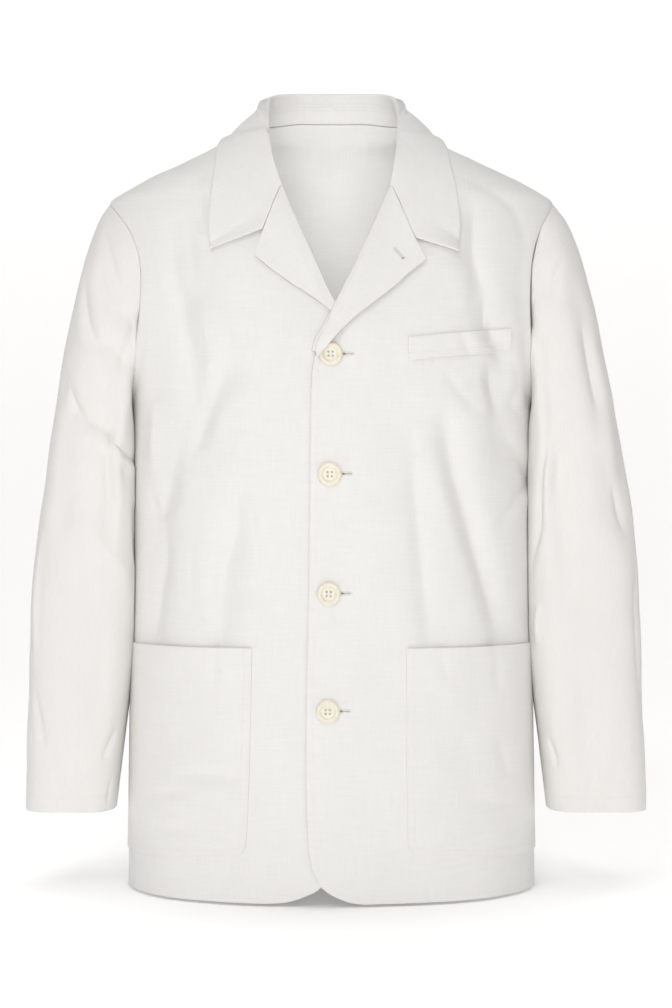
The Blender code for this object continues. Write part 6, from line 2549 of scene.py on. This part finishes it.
@dataclass
class Blazer:
    """All pieces of the blazer, in the order in which they are made."""

    left: FrontForm = field(default_factory=lambda: FrontForm(LEFT))
    right: FrontForm = field(default_factory=lambda: FrontForm(RIGHT))
    body_linen: LinenFinish = LinenFinish(
        "linen_body", (0.864, 0.855, 0.838), stitch_rows=(0.0058,), groove_painted_shade=0.99, stitch_groove=0.00010
    )
    # The sleeves' linen is a darker, warmer copy of the body's linen: painted shade on the sleeves.
    shaded_sleeve_linen: LinenFinish = LinenFinish(
        "linen_sleeve", (0.864, 0.850, 0.826), stitch_rows=(0.0150,), groove_painted_shade=0.99, stitch_groove=0.00010
    )
    patch_linen: LinenFinish = LinenFinish("linen_patch", (0.864, 0.854, 0.836), stitch_rows=(0.0016, 0.0070))
    collar_linen: LinenFinish = LinenFinish(
        "linen_collar", (0.864, 0.855, 0.838), stitch_rows=(0.0140, 0.0172, 0.0205), groove_painted_shade=0.975
    )
    thread: ThreadFinish = ThreadFinish("linen_thread", (0.90, 0.885, 0.86))
    front_row: float = 0.0058
    pocket_rows: tuple = (0.0016, 0.0070)
    mouth_rows: tuple = (0.0016, 0.0290, 0.0300)
    collar_rows: tuple = (0.0140, 0.0170, 0.0205)
    cuff_row: float = 0.0150
    welt_rows: tuple = (0.0014, 0.0056)
    welt_tacks: tuple = (0.0014, 0.0035, 0.0056)
    welt_tack_span: tuple = (0.0006, 0.0100)
    welt_inner_rows: tuple = (0.0014, 0.0070)
    hole_span: tuple = (0.0125, 0.0205)
    hole_rise: float = 0.0003
    hole_rim: tuple = (0.0010, 0.0001)
    lapel_hole_rim: tuple = (0.0007, 0.0001)
    lapel_slit_half: float = 0.00005
    # How far the lapel eyelet's dark spot of painted shade reaches.
    lapel_shade_step: tuple = (-0.0003, 0.0004)
    row_end: float = 0.01
    sheets: dict = field(default_factory=dict)

    def cloth(self) -> dict[str, tuple[ClothSheet, LinenFinish]]:
        """Every cloth piece as a grid, with its finish, by name."""
        left_roll, right_roll = RollLine(self.left), RollLine(self.right)
        made = [
            (BackPanel(), self.body_linen),
            (FrontPanel(self.right, "front_right"), self.body_linen),
            (FrontPanel(self.left, "front_left"), self.body_linen),
            (Lapel(right_roll, "lapel_right"), self.body_linen),
            (Lapel(left_roll, "lapel_left"), self.body_linen),
            (Collar(CollarHalf(left_roll), CollarHalf(right_roll)), self.collar_linen),
            (Sleeve(LEFT, "sleeve_left"), self.shaded_sleeve_linen),
            (Sleeve(RIGHT, "sleeve_right"), self.shaded_sleeve_linen),
            (PatchPocket(self.left, "pocket_left"), self.patch_linen),
            (PatchPocket(self.right, "pocket_right"), self.patch_linen),
            (ChestWelt(self.left), self.patch_linen),
        ]
        return {piece.name: (piece.sheet(), finish) for piece, finish in made}

    def make_cloth(self) -> None:
        materials = {}
        for name, (sheet, finish) in self.cloth().items():
            self.sheets[name] = sheet
            material = materials.setdefault(finish.name, None) or finish.material()
            materials[finish.name] = material
            made = sheet.build(material)
            made.name = "cloth_" + name
            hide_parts(name)
            width, length = sheet.cut_size()
            faces = made.data.polygons
            area = sum(face.area for face in faces) / 2
            log.info("%s: %d faces, %.3f x %.3f m, %.4f m2", name, len(faces), width, length, area)

    def make_buttons(self) -> None:
        """Makes the four buttons and their thread."""
        horn, thread = HornFinish().material(), self.thread.material()
        for index, (x, height) in enumerate(BUTTON_PLACES, start=1):
            node = f"button_{index}"
            pieces = Button("horn_" + node, x, height, self.left, node).build(horn, thread)
            log.info("%s: %d faces", node, sum(len(piece.data.polygons) for piece in pieces))

    def make_stitches(self) -> None:
        """Sews the rows of top stitching."""
        top = StitchRows("topstitching", StitchStyle.TOP)
        for name in ("front_left", "front_right"):
            line, out = self.sheets[name].line_beside(Rim.FIRST_COLUMN, self.front_row)
            rows = line[:, 2] < BREAK - self.row_end
            top.add(line[rows], out[rows])
        fine = StitchRows("edgestitching", StitchStyle.FINE)
        for name in ("pocket_left", "pocket_right"):
            pocket = self.sheets[name]
            for distance in self.pocket_rows:
                for rim in (Rim.FIRST_COLUMN, Rim.FIRST_ROW):
                    line, out = pocket.line_beside(rim, distance)
                    fine.add(line[2:-2], out[2:-2])
            for distance in self.mouth_rows:
                line, out = pocket.line_beside(Rim.LAST_ROW, distance)
                fine.add(*part_of_line(line, out, *self.pocket_rows))
        collar = self.sheets["collar"]
        quarter = len(collar.middle) // COLLAR_ENDS
        for distance in self.collar_rows:
            line, out = collar.line_beside(Rim.FIRST_COLUMN, distance)
            fine.add(line[quarter:-quarter], out[quarter:-quarter])
        for name in ("sleeve_left", "sleeve_right"):
            line, out = self.sheets[name].line_beside(Rim.LAST_ROW, self.cuff_row)
            fine.add(line, out)
        welt = self.sheets["chest_welt"]
        for distance in self.welt_rows:
            line, out = welt.line_beside(Rim.FIRST_ROW, distance)
            fine.add(line[1:-1], out[1:-1])
        for distance in self.welt_tacks:
            line, out = welt.line_beside(Rim.LAST_COLUMN, distance)
            fine.add(*part_of_line(line[::-1], out[::-1], *self.welt_tack_span))
        for distance in self.welt_inner_rows:
            line, out = welt.line_beside(Rim.FIRST_COLUMN, distance)
            fine.add(*part_of_line(line, out, *self.welt_inner_rows))
        for rows in (top, fine):
            sewn = rows.sew(self.thread.material())
            log.info("%s: %d faces", sewn.name, len(sewn.data.polygons))

    def make_buttonholes(self) -> None:
        """Works the buttonholes of the upper front and of the lapel, each with a dark patch that paints the
        shade in its opening.
        """
        stitches = StitchRows("buttonhole_stitches", StitchStyle.BUTTONHOLE)
        shade_patch_finish, front = ShadedOpeningFinish().material(), self.sheets["front_left"]
        for index, (x, height) in enumerate(BUTTON_PLACES, start=1):
            eyelet, end = ((x + beside, height + self.hole_rise) for beside in self.hole_span)
            hole = Buttonhole(front, eyelet, end)
            stitches.add(*hole.line(*self.hole_rim))
            # A dark patch in each hole: painted shade.
            hole.opening(f"buttonhole_{index}", shade_patch_finish)
        lapel, (eyelet, end) = self.sheets["lapel_left"], LAPEL_BUTTONHOLE
        closed = Buttonhole(lapel, eyelet, end, slit_half=self.lapel_slit_half)
        stitches.add(*closed.line(*self.lapel_hole_rim))
        inner = (eyelet[0] + self.lapel_shade_step[0], eyelet[1] + self.lapel_shade_step[1])
        # A small dark spot at the lapel's eyelet: painted shade.
        Buttonhole(lapel, eyelet, inner).opening("buttonhole_lapel", shade_patch_finish)
        sewn = stitches.sew(self.thread.material())
        log.info("%s: %d faces", sewn.name, len(sewn.data.polygons))


SLEEVE_FOLDS = {
    Side.LEFT: (
        Fold(0.090, -0.150, 0.048, -0.215, 0.015, -0.0030),
        Fold(0.144, -0.190, 0.132, -0.380, 0.018, -0.0035),
        Fold(0.114, -0.330, 0.060, -0.400, 0.016, -0.0035),
        Fold(0.180, -0.300, 0.156, -0.400, 0.017, -0.0030),
        Fold(0.348, -0.180, 0.360, -0.360, 0.019, -0.0035),
        Fold(0.288, -0.400, 0.348, -0.470, 0.018, -0.0035),
    ),
    Side.RIGHT: (
        Fold(0.168, -0.115, 0.072, -0.215, 0.016, -0.0030),
        Fold(0.162, -0.270, 0.054, -0.345, 0.016, -0.0040),
        Fold(0.138, -0.300, 0.126, -0.390, 0.018, -0.0035),
        Fold(0.342, -0.190, 0.360, -0.370, 0.019, -0.0035),
        Fold(0.282, -0.390, 0.342, -0.460, 0.018, -0.0035),
    ),
}
SLEEVE_CREASES = {
    Side.LEFT: creases_from(
        (12.5, -4.6, 0.1, -0.3, (86, -130), (94, -230), (91, -350), (97, -500)),
        (7.6, -5.0, 0.6, 0.3, (164, -110), (142, -137), (111, -182), (80, -215)),
        (5.7, -4.2, 0.6, -0.4, (157, -140), (136, -158), (115, -180)),
        (10.4, -4.2, 0.3, 0.2, (142, -205), (139, -290)),
        (8.5, -5.1, 0.4, 0.3, (93, -290), (62, -356), (49, -415), (31, -445)),
        (8.5, -3.7, 0.4, 0.0, (145, -360), (151, -405)),
        (6.6, 3.8, 0.4, 0.0, (53, -475), (43, -518)),
        (6.6, -3.4, 0.4, 0.0, (43, -608), (62, -634)),
        (8.5, -2.9, 0.3, 0.0, (176, -430), (168, -500), (174, -575)),
        (9.5, -2.2, 0.3, 0.0, (100, -520), (104, -585), (94, -640)),
        (7.6, -4.8, 0.5, 0.3, (395, -300), (350, -318), (300, -345)),
        (8.1, -4.3, 0.5, 0.0, (400, -338), (345, -360), (288, -372)),
        (8.5, -4.2, 0.4, 0.0, (300, -150), (330, -200), (336, -262)),
        (10.4, -3.7, 0.3, 0.0, (270, -430), (310, -520), (300, -600)),
        (9.5, -3.4, 0.3, 0.0, (380, -430), (352, -520)),
    ),
    Side.RIGHT: creases_from(
        (12.5, -4.6, 0.1, -0.3, (89, -120), (94, -230), (88, -360), (97, -500)),
        (6.2, -4.6, 0.6, 0.3, (176, -112), (151, -140), (127, -167), (105, -191)),
        (6.2, -4.3, 0.5, 0.3, (161, -141), (136, -172), (111, -197), (86, -220)),
        (8.1, -4.8, 0.4, 0.2, (170, -160), (130, -210), (96, -240), (71, -252)),
        (6.6, -6.1, 0.7, 0.4, (154, -264), (123, -291), (99, -311), (56, -328), (6, -342)),
        (9.5, -4.3, 0.3, 0.0, (154, -271), (117, -311), (96, -342), (90, -370), (68, -382)),
        (12.3, 4.2, 0.3, 0.0, (122, -378), (93, -420), (37, -455)),
        (6.6, -3.8, 0.4, 0.0, (28, -378), (19, -440)),
        (8.5, 3.7, 0.4, 0.0, (170, -400), (167, -460), (162, -540)),
        (7.6, -3.7, 0.4, 0.0, (161, -560), (139, -600), (133, -618)),
        (6.6, -3.7, 0.4, 0.0, (40, -598), (71, -626)),
        (4.7, -2.2, 0.3, 0.0, (40, -645), (47, -674)),
        (9.5, -2.2, 0.3, 0.0, (95, -500), (88, -560), (98, -600)),
        (7.6, -5.1, 0.5, 0.3, (398, -290), (352, -312), (296, -352)),
        (8.1, -4.2, 0.5, 0.0, (394, -332), (340, -352), (284, -388)),
        (8.5, -4.2, 0.4, 0.0, (296, -140), (324, -210), (340, -268)),
        (10.4, -3.7, 0.3, 0.0, (262, -440), (304, -510), (296, -610)),
        (9.5, -3.4, 0.3, 0.0, (374, -450), (356, -540)),
    ),
}


def main() -> None:
    """Makes the blazer, then the studio round it."""
    logging.basicConfig(level=logging.INFO, format="%(name)s: %(message)s")
    blazer = Blazer()
    blazer.make_cloth()
    blazer.make_buttons()
    blazer.make_buttonholes()
    blazer.make_stitches()
    Studio().set_up()


if __name__ == "__main__":
    main()
